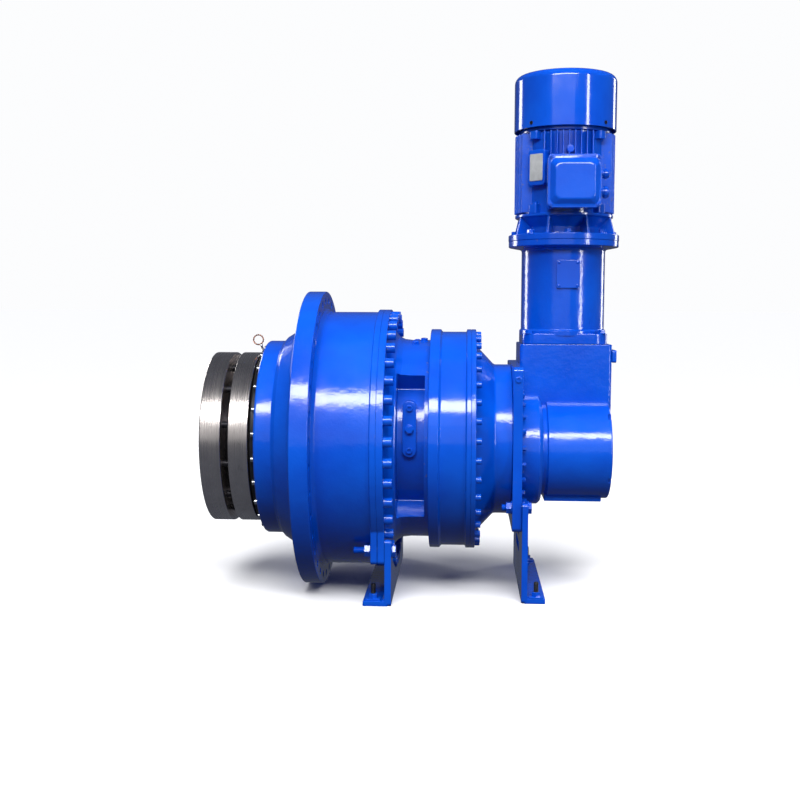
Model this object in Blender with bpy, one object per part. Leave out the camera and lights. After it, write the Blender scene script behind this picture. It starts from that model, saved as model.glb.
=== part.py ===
"""Planetary gearbox with a bevel-helical input unit and a vertical motor.

The gearbox axis runs along X, the motor axis along Z, and the floor is z = 0.
The hollow output shaft and its shrink disc are at the -X end.
"""

import math

import bmesh
import bpy
from mathutils import Matrix, Vector

# ---------------------------------------------------------------- dimensions
GAP = 0.0003                 # running and joint clearance between pieces
FACETS = 32                  # sides of the large turned pieces
SMALL_FACETS = 16            # sides of the shafts and small bearings
AXIS_Z = 0.470               # height of the gearbox axis above the floor

# Main casting.
FLANGE_R = 0.470             # mounting flange
FLANGE_X0 = -0.443
FLANGE_X1 = -0.387
FLANGE_HOLES = 36
FLANGE_HOLE_CIRCLE = 0.441
FLANGE_HOLE_R = 0.011
HUB_X = -0.5745              # left face of the hub
HUB_R = 0.311
BARREL_R = 0.405             # outside of the output housing
JOINT_R = 0.413              # bolted joint between housing and intermediate casting
JOINT_X0 = -0.217
JOINT_SPLIT_X = -0.199
JOINT_X1 = -0.1775
JOINT_BOLTS = 40
JOINT_BOLT_CIRCLE = 0.393
RING_SEAT_R = 0.355          # bore that holds the output ring gear

# Hollow output shaft and shrink disc.
SHAFT_BORE_R = 0.115
SHAFT_R = 0.150
CARRIER_BOSS_R = 0.200
DISC_R = 0.273
DISC_X0 = -0.747
DISC_X1 = -0.682
DISC_X2 = -0.658
DISC_X3 = -0.597
DISC_BOLTS = 12
DISC_BOLT_CIRCLE = 0.232

# Planetary stages: both have 9, 12 and 33 teeth.
SUN_TEETH = 9
PLANET_TEETH = 12
RING_TEETH = 33
OUT_MODULE = 0.018
OUT_X0 = -0.385
OUT_X1 = -0.265
IN_MODULE = 0.0154
IN_X0 = -0.020
IN_X1 = 0.060

# Intermediate casting and input ring gear.
CAGE_R = 0.316
CAGE_WALL_R = 0.252
CAGE_X1 = -0.0505
RIM_R = 0.351                # raised rims of the input ring gear
RIM_BODY_R = 0.343
RIM_X1 = -0.0135
INPUT_JOINT_X0 = 0.063
INPUT_JOINT_SPLIT_X = 0.0775
INPUT_JOINT_X1 = 0.0925
INPUT_BOLTS = 36
INPUT_BOLT_CIRCLE = 0.334

# Cone adapter, square plate and bevel-helical case.
CONE_R0 = 0.300
CONE_R1 = 0.239
PLATE_X0 = 0.2035
PLATE_X1 = 0.2325
PLATE_Y = 0.250
PLATE_Z0 = -0.257
PLATE_Z1 = 0.243
CASE_Z = -0.033              # centre of the round part, from the gearbox axis
CASE_FLANGE_R = 0.1755
CASE_R = 0.155
CASE_X0 = PLATE_X1 + GAP
CASE_X1 = 0.300
CASE_X2 = 0.316
CASE_X3 = 0.5145
BOX_X1 = 0.527
BOX_Y0 = 0.003
BOX_Y1 = 0.283
BOX_Z0 = -0.100
BOX_Z1 = 0.304
CASE_BOLTS = 24
CASE_BOLT_CIRCLE = 0.193

# Bevel and spur gears in the case.
COUNTER_Y = 0.140            # countershaft position from the gearbox axis
COUNTER_Z = 0.020
COUNTER_ANGLE = math.atan2(COUNTER_Z, COUNTER_Y)
SPUR_MODULE = math.hypot(COUNTER_Y, COUNTER_Z) / 15.0
SPUR_PINION_TEETH = 9
SPUR_WHEEL_TEETH = 21
SPUR_X0 = 0.262
SPUR_X1 = 0.312
BEVEL_WHEEL_TEETH = 20
BEVEL_PINION_TEETH = 8
BEVEL_MODULE = 0.0081
BEVEL_FACE = 0.025
BEVEL_ADDENDUM = 0.50
BEVEL_DEDENDUM = 1.25
BEVEL_TOOTH_WIDTH = 0.24
BEVEL_WHEEL_TURN = 0.0
BEVEL_PINION_TURN = math.pi / BEVEL_PINION_TEETH

# Motor and adapter column.
MOTOR_X = 0.378
MOTOR_Y = COUNTER_Y
COLUMN_R = 0.136
COLUMN_Z0 = BOX_Z1 + GAP
COLUMN_BASE_Z = 0.338
COLUMN_Z1 = 0.636
MOTOR_FLANGE_R = 0.180
FLANGE_TOP_Z = 0.657
SHIELD_Z0 = COLUMN_Z1 + GAP
SHIELD_Z1 = 0.721
FRAME_Z0 = SHIELD_Z1 + GAP
FRAME_Z1 = 0.981
FRAME_R = 0.135
FIN_R = 0.162
FIN_ROOT_R = 0.128
COWL_Z0 = FRAME_Z1 + 0.003
COWL_Z1 = 1.190
COWL_R = 0.165
BOX_LEFT = 0.305             # terminal box
BOX_RIGHT = 0.468
BOX_BOTTOM_Z = 0.726
BOX_TOP_Z = 0.888
BOX_FRONT_Y = -0.112

# Support brackets.
FLOOR_Z = -AXIS_Z
FRONT_Y = 0.330
REAR_Y = 0.270
FRONT_BOLT_Y = 0.295
FRONT_BOLT_Z = -0.308
REAR_BOLT_Y = 0.225
REAR_BOLT_Z = -0.185
FRONT_X0 = JOINT_X1 + GAP
FRONT_T = 0.020
REAR_X0 = PLATE_X1 + GAP
REAR_T = 0.018

BLUE = (0.010, 0.060, 0.420)
STEEL = (0.50, 0.50, 0.50)
DARK = (0.05, 0.05, 0.055)
BRASS = (0.60, 0.42, 0.16)
COPPER = (0.62, 0.28, 0.16)
RUBBER = (0.02, 0.02, 0.02)


# ---------------------------------------------------------------- basic tools
def clear_scene():
    for item in list(bpy.data.objects):
        bpy.data.objects.remove(item, do_unlink=True)


def make_material(name, colour, roughness, metallic):
    material = bpy.data.materials.new(name)
    material.use_nodes = True
    shader = material.node_tree.nodes["Principled BSDF"]
    shader.inputs["Base Color"].default_value = (*colour, 1.0)
    shader.inputs["Roughness"].default_value = roughness
    shader.inputs["Metallic"].default_value = metallic
    return material


FINISH = {
    "blue": (BLUE, 0.32, 0.0),
    "steel": (STEEL, 0.28, 1.0),
    "gear": ((0.32, 0.33, 0.35), 0.35, 1.0),
    "dark": (DARK, 0.45, 0.6),
    "brass": (BRASS, 0.35, 1.0),
    "copper": (COPPER, 0.40, 1.0),
    "rubber": (RUBBER, 0.80, 0.0),
    "plate": ((0.62, 0.63, 0.64), 0.38, 1.0),
}


def finish_object(name, bm, finish, sharp=32.0):
    """Turn a bmesh in world coordinates into a named, shaded object."""
    bmesh.ops.recalc_face_normals(bm, faces=bm.faces)
    mesh = bpy.data.meshes.new(name)
    bm.to_mesh(mesh)
    bm.free()
    item = bpy.data.objects.new(name, mesh)
    bpy.context.scene.collection.objects.link(item)
    mesh.materials.append(make_material(name + "_finish", *FINISH[finish]))
    for face in mesh.polygons:
        face.use_smooth = True
    mesh.set_sharp_from_angle(angle=math.radians(sharp))
    return item


def combine(target, tool, operation):
    """Apply an exact Boolean and remove the tool object."""
    modifier = target.modifiers.new("cut", "BOOLEAN")
    modifier.operation = operation
    modifier.solver = "EXACT"
    modifier.object = tool
    graph = bpy.context.evaluated_depsgraph_get()
    result = bpy.data.meshes.new_from_object(target.evaluated_get(graph))
    target.modifiers.clear()
    old = target.data
    materials = list(old.materials)
    target.data = result
    result.name = target.name
    result.materials.clear()
    result.materials.append(materials[0])
    for face in result.polygons:
        face.material_index = 0
        face.use_smooth = True
    result.set_sharp_from_angle(angle=math.radians(32.0))
    bpy.data.meshes.remove(old)
    bpy.data.objects.remove(tool, do_unlink=True)
    return target


def cut(target, tool):
    return combine(target, tool, "DIFFERENCE")


def join(target, tool):
    return combine(target, tool, "UNION")


def axis_frame(direction, origin):
    """Matrix that takes local +Z to a direction and local zero to an origin."""
    turn = Vector(direction).normalized().to_track_quat("Z", "Y").to_matrix()
    return Matrix.Translation(Vector(origin)) @ turn.to_4x4()


def revolve_bmesh(profile, segments, frame):
    """Revolve a closed (radius, height) loop about local Z."""
    bm = bmesh.new()
    rings = []
    for radius, height in profile:
        if radius < 1e-6:
            rings.append([bm.verts.new(frame @ Vector((0.0, 0.0, height)))])
            continue
        ring = []
        for step in range(segments):
            angle = 2.0 * math.pi * step / segments
            local = Vector((radius * math.cos(angle), radius * math.sin(angle), height))
            ring.append(bm.verts.new(frame @ local))
        rings.append(ring)
    for index, ring in enumerate(rings):
        following = rings[(index + 1) % len(rings)]
        if len(ring) == 1 and len(following) == 1:
            continue
        for step in range(segments):
            after = (step + 1) % segments
            corners = [ring[step % len(ring)], following[step % len(following)]]
            corners += [following[after % len(following)], ring[after % len(ring)]]
            unique = list(dict.fromkeys(corners))
            bm.faces.new(unique)
    return bm


def lathe_x(name, profile, finish, segments=FACETS, y=0.0, z=0.0):
    """Turned piece on an axis along X; the profile lists (x, radius)."""
    frame = axis_frame((1, 0, 0), (0.0, y, AXIS_Z + z))
    loop = [(radius, x) for x, radius in profile]
    return finish_object(name, revolve_bmesh(loop, segments, frame), finish)


def lathe_z(name, profile, finish, segments=24, x=MOTOR_X, y=MOTOR_Y):
    """Turned piece on a vertical axis; the profile lists (radius, z)."""
    frame = axis_frame((0, 0, 1), (x, y, AXIS_Z))
    return finish_object(name, revolve_bmesh(profile, segments, frame), finish)


def rod(name, start, end, radius, finish, segments=16):
    """Plain round bar between two points."""
    start, end = Vector(start), Vector(end)
    frame = axis_frame(end - start, start)
    length = (end - start).length
    loop = [(0.0, 0.0), (radius, 0.0), (radius, length), (0.0, length)]
    return finish_object(name, revolve_bmesh(loop, segments, frame), finish)


def prism_bmesh(loops, low, high, frame):
    """Extrude nested outlines (outer loop first, then holes) along local Z."""
    bm = bmesh.new()
    caps = ([], [])
    for loop in loops:
        rows = []
        for level in (low, high):
            rows.append([bm.verts.new(frame @ Vector((a, b, level))) for a, b in loop])
        count = len(loop)
        for side, row in enumerate(rows):
            for step in range(count):
                caps[side].append(bm.edges.new((row[step], row[(step + 1) % count])))
        for step in range(count):
            after = (step + 1) % count
            bm.faces.new((rows[0][step], rows[0][after], rows[1][after], rows[1][step]))
    for edges in caps:
        bmesh.ops.triangle_fill(bm, use_beauty=True, use_dissolve=False, edges=edges)
    return bm


def prism_x(name, loops, x0, x1, finish, y=0.0, z=0.0):
    """Prism along X; loops list (y, z) about the given centre."""
    frame = Matrix(((0, 0, 1, 0), (1, 0, 0, y), (0, 1, 0, AXIS_Z + z), (0, 0, 0, 1)))
    return finish_object(name, prism_bmesh(loops, x0, x1, frame), finish)


def prism_z(name, loops, z0, z1, finish, x=MOTOR_X, y=MOTOR_Y):
    """Prism along Z; loops list (x, y) about the given centre."""
    frame = Matrix.Translation(Vector((x, y, AXIS_Z)))
    return finish_object(name, prism_bmesh(loops, z0, z1, frame), finish)


def prism_y(name, loops, y0, y1, finish, x=0.0, z=0.0):
    """Prism along Y; loops list (x, z) about the given centre."""
    frame = Matrix(((1, 0, 0, x), (0, 0, 1, 0), (0, 1, 0, AXIS_Z + z), (0, 0, 0, 1)))
    return finish_object(name, prism_bmesh(loops, y0, y1, frame), finish)


def rounded_rectangle(a0, a1, b0, b1, radius, steps=3):
    """Outline of a rectangle with rounded corners."""
    corners = [(a1 - radius, b1 - radius, 0), (a0 + radius, b1 - radius, 90)]
    corners += [(a0 + radius, b0 + radius, 180), (a1 - radius, b0 + radius, 270)]
    points = []
    for a, b, begin in corners:
        for step in range(steps + 1):
            angle = math.radians(begin + 90.0 * step / steps)
            points.append((a + radius * math.cos(angle), b + radius * math.sin(angle)))
    return points


def circle(radius, steps, a=0.0, b=0.0):
    return [(a + radius * math.cos(2 * math.pi * k / steps),
             b + radius * math.sin(2 * math.pi * k / steps)) for k in range(steps)]


def running_bore(radius, sides=FACETS):
    """Bore radius whose flats stay clear of a shaft that turns inside it."""
    return radius / math.cos(math.pi / sides) + GAP


def block(name, low, high, finish):
    """Axis-aligned block from two corners measured from the gearbox axis."""
    loop = [(low[0], low[1]), (high[0], low[1]), (high[0], high[1]), (low[0], high[1])]
    return prism_z(name, [loop], low[2], high[2], finish, x=0.0, y=0.0)


def ring_positions(count, radius, phase=0.0, y=0.0, z=0.0):
    """Evenly spaced (y, z) points on a circle about the gearbox axis."""
    points = []
    for index in range(count):
        angle = 2.0 * math.pi * (index + phase) / count
        points.append((y + radius * math.cos(angle), z + radius * math.sin(angle)))
    return points


def rods_along_x(name, points, x0, x1, radius, sides, finish="steel"):
    """Several equal bars along X in one mesh, used as Boolean tools."""
    bm = bmesh.new()
    for y, z in points:
        rows = []
        for x in (x0, x1):
            row = []
            for k in range(sides):
                angle = 2.0 * math.pi * (k + 0.5) / sides
                row.append(bm.verts.new((x, y + radius * math.cos(angle),
                                         AXIS_Z + z + radius * math.sin(angle))))
            rows.append(row)
        bm.faces.new(rows[0])
        bm.faces.new(rows[1][::-1])
        for k in range(sides):
            after = (k + 1) % sides
            bm.faces.new((rows[0][k], rows[1][k], rows[1][after], rows[0][after]))
    return finish_object(name, bm, finish)


def bolt_circle(name, count, circle_r, x, head, across, washer, z=0.0, keep=None):
    """Hexagon bolt heads on a thin retaining ring, standing to the right of x."""
    x = x + GAP
    ring = [(x, circle_r - washer), (x, circle_r + washer)]
    ring += [(x + 0.002, circle_r + washer), (x + 0.002, circle_r - washer)]
    item = lathe_x(name, ring, "blue", count, 0.0, z)
    points = ring_positions(count, circle_r, 0.5, 0.0, z)
    if keep:
        points = [point for point in points if keep(*point)]
    heads = rods_along_x("heads", points, x + 0.001, x + head, across, 6)
    return join(item, heads)


# ---------------------------------------------------------------- gear tools
def tooth_outline(teeth, module, addendum, dedendum, phase, thickness=0.39):
    """Outline of straight-flanked teeth; phase is the angle of one tooth centre."""
    pitch = teeth * module / 2.0
    root, tip = pitch - dedendum * module, pitch + addendum * module
    outline = []
    step = 2.0 * math.pi / teeth
    for index in range(teeth):
        middle = phase + index * step
        for radius, share in ((root, -0.29), (tip, -0.115), (tip, 0.115), (root, 0.29)):
            width = share * thickness / 0.39
            angle = middle + width * step
            outline.append((radius * math.cos(angle), radius * math.sin(angle)))
    return outline


def spur_gear(name, teeth, module, x0, x1, bore, phase, y=0.0, z=0.0, finish="gear"):
    """External gear with a round bore on an axis along X."""
    loops = [tooth_outline(teeth, module, 0.8, 1.05, phase)]
    if bore:
        loops.append(circle(bore, SMALL_FACETS))
    return prism_x(name, loops, x0, x1, finish, y, z)


def internal_teeth(teeth, module, phase):
    """Outline of the tooth space of an internal gear."""
    pitch = teeth * module / 2.0
    tip, root = pitch - 0.8 * module, pitch + 1.05 * module
    outline = []
    step = 2.0 * math.pi / teeth
    for index in range(teeth):
        middle = phase + index * step
        for radius, share in ((root, -0.29), (tip, -0.115), (tip, 0.115), (root, 0.29)):
            angle = middle + share * step
            outline.append((radius * math.cos(angle), radius * math.sin(angle)))
    return outline


def set_origin(item, point):
    """Move the object's origin to a world point without moving its mesh."""
    point = Vector(point)
    item.data.transform(Matrix.Translation(-point))
    item.location = point


def planet_centres(distance):
    """Planet axes as (angle, y, z): the first one points straight up."""
    places = []
    for index in range(3):
        angle = math.radians(90.0 + 120.0 * index)
        places.append((angle, distance * math.cos(angle), distance * math.sin(angle)))
    return places


# ---------------------------------------------------------------- output stage
def foot_lugs(item, x0, x1):
    """Two drilled lugs low on the joint flange that take the front bracket bolts."""
    for side in (-1, 1):
        inner, outer = sorted((side * 0.20, side * FRONT_Y))
        lug = block("lug", (x0, inner, -0.345), (x1, outer, -0.225), "blue")
        hollow = [(-0.23, 0.0), (-0.23, 0.380), (-0.15, 0.380), (-0.15, 0.0)]
        join(item, cut(lug, lathe_x("hollow", hollow, "blue")))
    points = [(side * FRONT_BOLT_Y, FRONT_BOLT_Z) for side in (-1, 1)]
    cut(item, rods_along_x("holes", points, -0.24, -0.16, 0.0115, 12))


def output_housing():
    profile = [
        (HUB_X, 0.230), (HUB_X, 0.302), (HUB_X + 0.009, HUB_R), (-0.520, HUB_R),
        (-0.508, 0.325), (-0.465, 0.352), (FLANGE_X0, 0.385),
        (FLANGE_X0, FLANGE_R - 0.003), (FLANGE_X0 + 0.003, FLANGE_R),
        (FLANGE_X1, FLANGE_R), (FLANGE_X1, 0.416), (-0.376, BARREL_R),
        (JOINT_X0, BARREL_R), (JOINT_X0, JOINT_R), (JOINT_SPLIT_X, JOINT_R),
        (JOINT_SPLIT_X, RING_SEAT_R), (-0.417, RING_SEAT_R), (-0.417, 0.290),
        (-0.475, 0.290), (-0.475, 0.230),
    ]
    item = lathe_x("output_housing", profile, "blue")
    foot_lugs(item, JOINT_X0 - 0.002, JOINT_SPLIT_X - 0.0004)
    points = ring_positions(FLANGE_HOLES, FLANGE_HOLE_CIRCLE, 0.5)
    cut(item, rods_along_x("holes", points, -0.46, -0.37, FLANGE_HOLE_R, 6))
    return item


def output_parts():
    output_housing()
    lathe_x("seal_cover", [
        (-0.594, 0.205), (-0.594, 0.276), (HUB_X - GAP, 0.276),
        (HUB_X - GAP, 0.205)], "dark")
    bore = running_bore(SHAFT_R)
    lathe_x("shaft_seal", [
        (-0.592, bore), (-0.592, 0.2047), (-0.577, 0.2047), (-0.577, bore)], "rubber")
    lathe_x("main_bearing_front", [
        (-0.560, bore), (-0.560, 0.2297), (-0.500, 0.2297), (-0.500, bore)], "steel")
    bore = running_bore(CARRIER_BOSS_R)
    lathe_x("main_bearing_rear", [
        (-0.4747, bore), (-0.4747, 0.2897), (-0.418, 0.2897), (-0.418, bore)], "steel")
    ring_phase = math.radians(90.0) + math.pi / RING_TEETH
    outline = internal_teeth(RING_TEETH, OUT_MODULE, ring_phase)
    prism_x("output_ring_gear", [circle(RING_SEAT_R - GAP, FACETS), outline],
            OUT_X0 - 0.005, OUT_X1 + 0.005, "gear")


def output_carrier():
    """Hollow shaft, carrier plate and three planet pins turned from one forging."""
    item = lathe_x("output_carrier", [
        (DISC_X0, SHAFT_BORE_R), (DISC_X0, SHAFT_R - 0.003),
        (DISC_X0 + 0.003, SHAFT_R), (-0.478, SHAFT_R), (-0.478, CARRIER_BOSS_R),
        (-0.414, CARRIER_BOSS_R), (-0.414, 0.262), (OUT_X0 - 0.008, 0.262),
        (OUT_X0 - 0.008, 0.0), (-0.430, 0.0), (-0.430, SHAFT_BORE_R)], "steel")
    distance = (SUN_TEETH + PLANET_TEETH) * OUT_MODULE / 2.0
    points = [(y, z) for _, y, z in planet_centres(distance)]
    join(item, rods_along_x("pins", points, OUT_X0 - 0.012, OUT_X1 + 0.004, 0.040,
                              SMALL_FACETS))
    set_origin(item, (DISC_X0, 0.0, AXIS_Z))
    for index, (angle, y, z) in enumerate(planet_centres(distance)):
        planet = spur_gear("output_planet_%d" % (index + 1), PLANET_TEETH, OUT_MODULE,
                           OUT_X0, OUT_X1, 0.0425, angle, y, z)
        set_origin(planet, (OUT_X0, y, AXIS_Z + z))


def shrink_disc():
    """Two clamping rings on a split inner sleeve, drawn together by bolts."""
    inner = SHAFT_R + GAP
    sleeve = lathe_x("shrink_sleeve", [
        (DISC_X0 + 0.004, inner), (DISC_X0 + 0.004, 0.163), (-0.670, 0.172),
        (DISC_X3 - 0.004, 0.163), (DISC_X3 - 0.004, inner)], "dark")
    left = lathe_x("shrink_ring_left", [
        (DISC_X0, 0.1633), (DISC_X0, DISC_R - 0.004), (DISC_X0 + 0.004, DISC_R),
        (DISC_X1, DISC_R), (DISC_X1, 0.1733)], "steel")
    right = lathe_x("shrink_ring_right", [
        (DISC_X2, 0.1733), (DISC_X2, DISC_R), (DISC_X3 - 0.003, DISC_R),
        (DISC_X3, DISC_R - 0.003), (DISC_X3, 0.1633)], "steel")
    points = ring_positions(DISC_BOLTS, DISC_BOLT_CIRCLE, 0.5)
    cut(left, rods_along_x("holes", points, DISC_X0 - 0.01, DISC_X1 + 0.01, 0.0120, 6))
    screws = lathe_x("shrink_screws", [
        (DISC_X1 + 0.006, 0.216), (DISC_X1 + 0.006, 0.248),
        (DISC_X2 - 0.006, 0.248), (DISC_X2 - 0.006, 0.216)], "dark")
    join(screws, rods_along_x("shanks", points, DISC_X0 + 0.010,
                              DISC_X2 - 0.008, 0.0110, 6))
    for item in (sleeve, left, right, screws):
        set_origin(item, (DISC_X0, 0.0, AXIS_Z))


# ---------------------------------------------------------------- middle castings
def sector(name, inner, outer, x0, x1, middle, half):
    """Annular sector used to open a side window."""
    steps = 8
    loop = []
    for radius, order in ((inner, range(steps + 1)), (outer, range(steps, -1, -1))):
        for step in order:
            angle = math.radians(middle - half + 2.0 * half * step / steps)
            loop.append((radius * math.cos(angle), radius * math.sin(angle)))
    return prism_x(name, [loop], x0, x1, "blue")


def intermediate_housing():
    profile = [
        (JOINT_SPLIT_X + GAP, 0.330), (JOINT_SPLIT_X + GAP, JOINT_R),
        (JOINT_X1, JOINT_R), (JOINT_X1, 0.368), (-0.166, 0.345), (-0.152, 0.328),
        (-0.135, CAGE_R + 0.003), (-0.110, CAGE_R), (CAGE_X1, CAGE_R),
        (CAGE_X1, 0.226), (-0.160, 0.226), (-0.172, 0.330)]
    item = lathe_x("intermediate_housing", profile, "blue")
    for middle in (0.0, 180.0):
        cut(item, sector("window", CAGE_WALL_R, 0.36, -0.148, -0.062, middle, 43.0))
    foot_lugs(item, JOINT_SPLIT_X + GAP + 0.0004, JOINT_X1 - 0.0004)
    outline = rounded_rectangle(-0.129, -0.087, -0.030, 0.140, 0.0205, 4)
    pad = prism_y("pad", [outline], -0.264, -0.180, "blue")
    inside = lathe_x("inside", [(-0.14, 0.0), (-0.14, 0.240), (-0.07, 0.240),
                                (-0.07, 0.0)], "blue")
    join(item, cut(pad, inside))
    return item


def middle_parts():
    intermediate_housing()
    bolt_circle("output_joint_bolts", JOINT_BOLTS, JOINT_BOLT_CIRCLE, JOINT_X1, 0.026,
                0.0155, 0.0165)
    ring_phase = math.radians(90.0) + math.pi / RING_TEETH
    gear = prism_x("input_ring_gear", [
        circle(RIM_R, FACETS), internal_teeth(RING_TEETH, IN_MODULE, ring_phase)],
        CAGE_X1 + GAP, INPUT_JOINT_SPLIT_X, "blue")
    cut(gear, lathe_x("groove", [
        (RIM_X1, RIM_BODY_R), (RIM_X1 - 0.006, RIM_R + 0.02),
        (INPUT_JOINT_X0, RIM_R + 0.02), (INPUT_JOINT_X0, RIM_BODY_R)], "blue"))
    lathe_x("cone_adapter", [
        (INPUT_JOINT_SPLIT_X + GAP, 0.270), (INPUT_JOINT_SPLIT_X + GAP, RIM_R),
        (INPUT_JOINT_X1 - 0.002, RIM_R), (INPUT_JOINT_X1, RIM_R - 0.002),
        (INPUT_JOINT_X1, CONE_R0), (0.104, 0.288), (0.150, CONE_R1),
        (PLATE_X0 - GAP, CONE_R1), (PLATE_X0 - GAP, 0.150), (0.165, 0.150),
        (0.130, 0.225)], "blue")
    bolt_circle("input_joint_bolts", INPUT_BOLTS, INPUT_BOLT_CIRCLE, INPUT_JOINT_X1,
                0.016, 0.0105, 0.0115)
    outline = rounded_rectangle(-PLATE_Y, PLATE_Y, PLATE_Z0, PLATE_Z1, 0.012, 2)
    plate = prism_x("square_plate", [outline, circle(0.130, 24, 0.0, CASE_Z)],
                    PLATE_X0, PLATE_X1, "blue")
    points = [(side * REAR_BOLT_Y, REAR_BOLT_Z) for side in (-1, 1)]
    cut(plate, rods_along_x("holes", points, 0.19, 0.25, 0.0115, 12))


def input_stage():
    """Second carrier with its sun pinion, planets and first sun shaft."""
    carrier = lathe_x("input_carrier", [
        (-0.200, 0.0), (-0.200, 0.052), (-0.075, 0.052), (-0.075, 0.205),
        (IN_X0 - 0.008, 0.205), (IN_X0 - 0.008, 0.0)], "steel")
    distance = (SUN_TEETH + PLANET_TEETH) * IN_MODULE / 2.0
    points = [(y, z) for _, y, z in planet_centres(distance)]
    join(carrier, rods_along_x("pins", points, IN_X0 - 0.012, IN_X1 + 0.004, 0.032,
                                 SMALL_FACETS))
    set_origin(carrier, (-0.200, 0.0, AXIS_Z))
    sun = spur_gear("output_sun", SUN_TEETH, OUT_MODULE, OUT_X0, OUT_X1, 0.0,
                    math.radians(90.0) + math.pi / SUN_TEETH)
    join(sun, rod("neck", (OUT_X1 - 0.01, 0, AXIS_Z), (-0.2003, 0, AXIS_Z), 0.052,
                  "gear", SMALL_FACETS))
    set_origin(sun, (OUT_X0, 0.0, AXIS_Z))
    for index, (angle, y, z) in enumerate(planet_centres(distance)):
        planet = spur_gear("input_planet_%d" % (index + 1), PLANET_TEETH, IN_MODULE,
                           IN_X0, IN_X1, 0.0345, angle, y, z)
        set_origin(planet, (IN_X0, y, AXIS_Z + z))
    bore = running_bore(0.052)
    lathe_x("carrier_bearing", [
        (-0.150, bore), (-0.150, 0.2250), (-0.120, 0.2250), (-0.120, bore)], "steel")
    shaft = spur_gear("input_sun_shaft", SUN_TEETH, IN_MODULE, IN_X0, IN_X1, 0.0,
                      math.radians(90.0) + math.pi / SUN_TEETH)
    join(shaft, rod("neck", (IN_X1 - 0.01, 0, AXIS_Z), (0.360, 0, AXIS_Z), 0.028,
                    "gear", SMALL_FACETS))
    set_origin(shaft, (IN_X0, 0.0, AXIS_Z))
    wheel = spur_gear("spur_wheel", SPUR_WHEEL_TEETH, SPUR_MODULE, SPUR_X0, SPUR_X1,
                      0.0283, COUNTER_ANGLE)
    set_origin(wheel, (SPUR_X0, 0.0, AXIS_Z))
    bore = running_bore(0.028, SMALL_FACETS)
    lathe_x("sun_bearing", [
        (0.170, bore), (0.170, 0.1480), (0.195, 0.1480), (0.195, bore)],
        "steel", SMALL_FACETS)


# ---------------------------------------------------------------- bevel-helical unit
def bevel_case():
    """Cast case: a round gear room in front of the box that carries the column."""
    item = lathe_x("bevel_case", [
        (CASE_X0, 0.0), (CASE_X0, CASE_FLANGE_R), (0.290, CASE_FLANGE_R),
        (CASE_X1, CASE_FLANGE_R - 0.010), (CASE_X1, 0.146), (CASE_X2, 0.146),
        (CASE_X2 + 0.002, CASE_R), (CASE_X3 - 0.004, CASE_R),
        (CASE_X3, CASE_R - 0.004), (CASE_X3, 0.0)], "blue", FACETS, 0.0, CASE_Z)
    box = rounded_rectangle(CASE_X0 + 0.0007, BOX_X1, BOX_Y0, BOX_Y1, 0.010, 2)
    join(item, prism_z("box", [box], BOX_Z0, BOX_Z1, "blue", 0.0, 0.0))
    room = lathe_x("room", [
        (CASE_X0 - 0.01, 0.0), (CASE_X0 - 0.01, 0.128), (0.490, 0.128),
        (0.490, 0.0)], "blue", 24, 0.0, CASE_Z)
    join(room, lathe_x("wheel_room", [
        (SPUR_X0 - 0.007, 0.0), (SPUR_X0 - 0.007, 0.112), (SPUR_X1 + 0.007, 0.112),
        (SPUR_X1 + 0.007, 0.0)], "blue", 24))
    upper = rounded_rectangle(CASE_X0 + 0.016, BOX_X1 - 0.018, BOX_Y0 + 0.016,
                              BOX_Y1 - 0.016, 0.008, 1)
    join(room, prism_z("upper", [upper], BOX_Z0 + 0.016, BOX_Z1 - 0.020, "blue",
                       0.0, 0.0))
    join(room, lathe_z("mouth", [
        (0.0, 0.25), (0.070, 0.25), (0.070, 0.33), (0.0, 0.33)], "blue"))
    return cut(item, room)


def clear_of_box(y, z):
    """True where a case bolt has room beside or below the box."""
    return z < BOX_Z0 - 0.015 or y < BOX_Y0 - 0.014


def bevel_parts():
    bevel_case()
    bolts = bolt_circle("case_bolts", CASE_BOLTS, CASE_BOLT_CIRCLE, PLATE_X1, 0.014,
                        0.0085, 0.0095, CASE_Z, clear_of_box)
    cut(bolts, block("gap", (PLATE_X1 - 0.01, BOX_Y0 - 0.004, BOX_Z0 - 0.006),
                     (CASE_X1, 0.300, 0.300), "blue"))
    outline = rounded_rectangle(BOX_Y0 + 0.002, BOX_Y1 - 0.002, 0.246, 0.286, 0.006, 1)
    prism_x("side_block", [outline], BOX_X1 + GAP, BOX_X1 + 0.014, "blue")
    lathe_x("side_cap", [
        (BOX_X1 + GAP, 0.0), (BOX_X1 + GAP, 0.055), (BOX_X1 + 0.006, 0.055),
        (BOX_X1 + 0.009, 0.050), (BOX_X1 + 0.009, 0.0)], "blue", 24, COUNTER_Y, 0.090)


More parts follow.
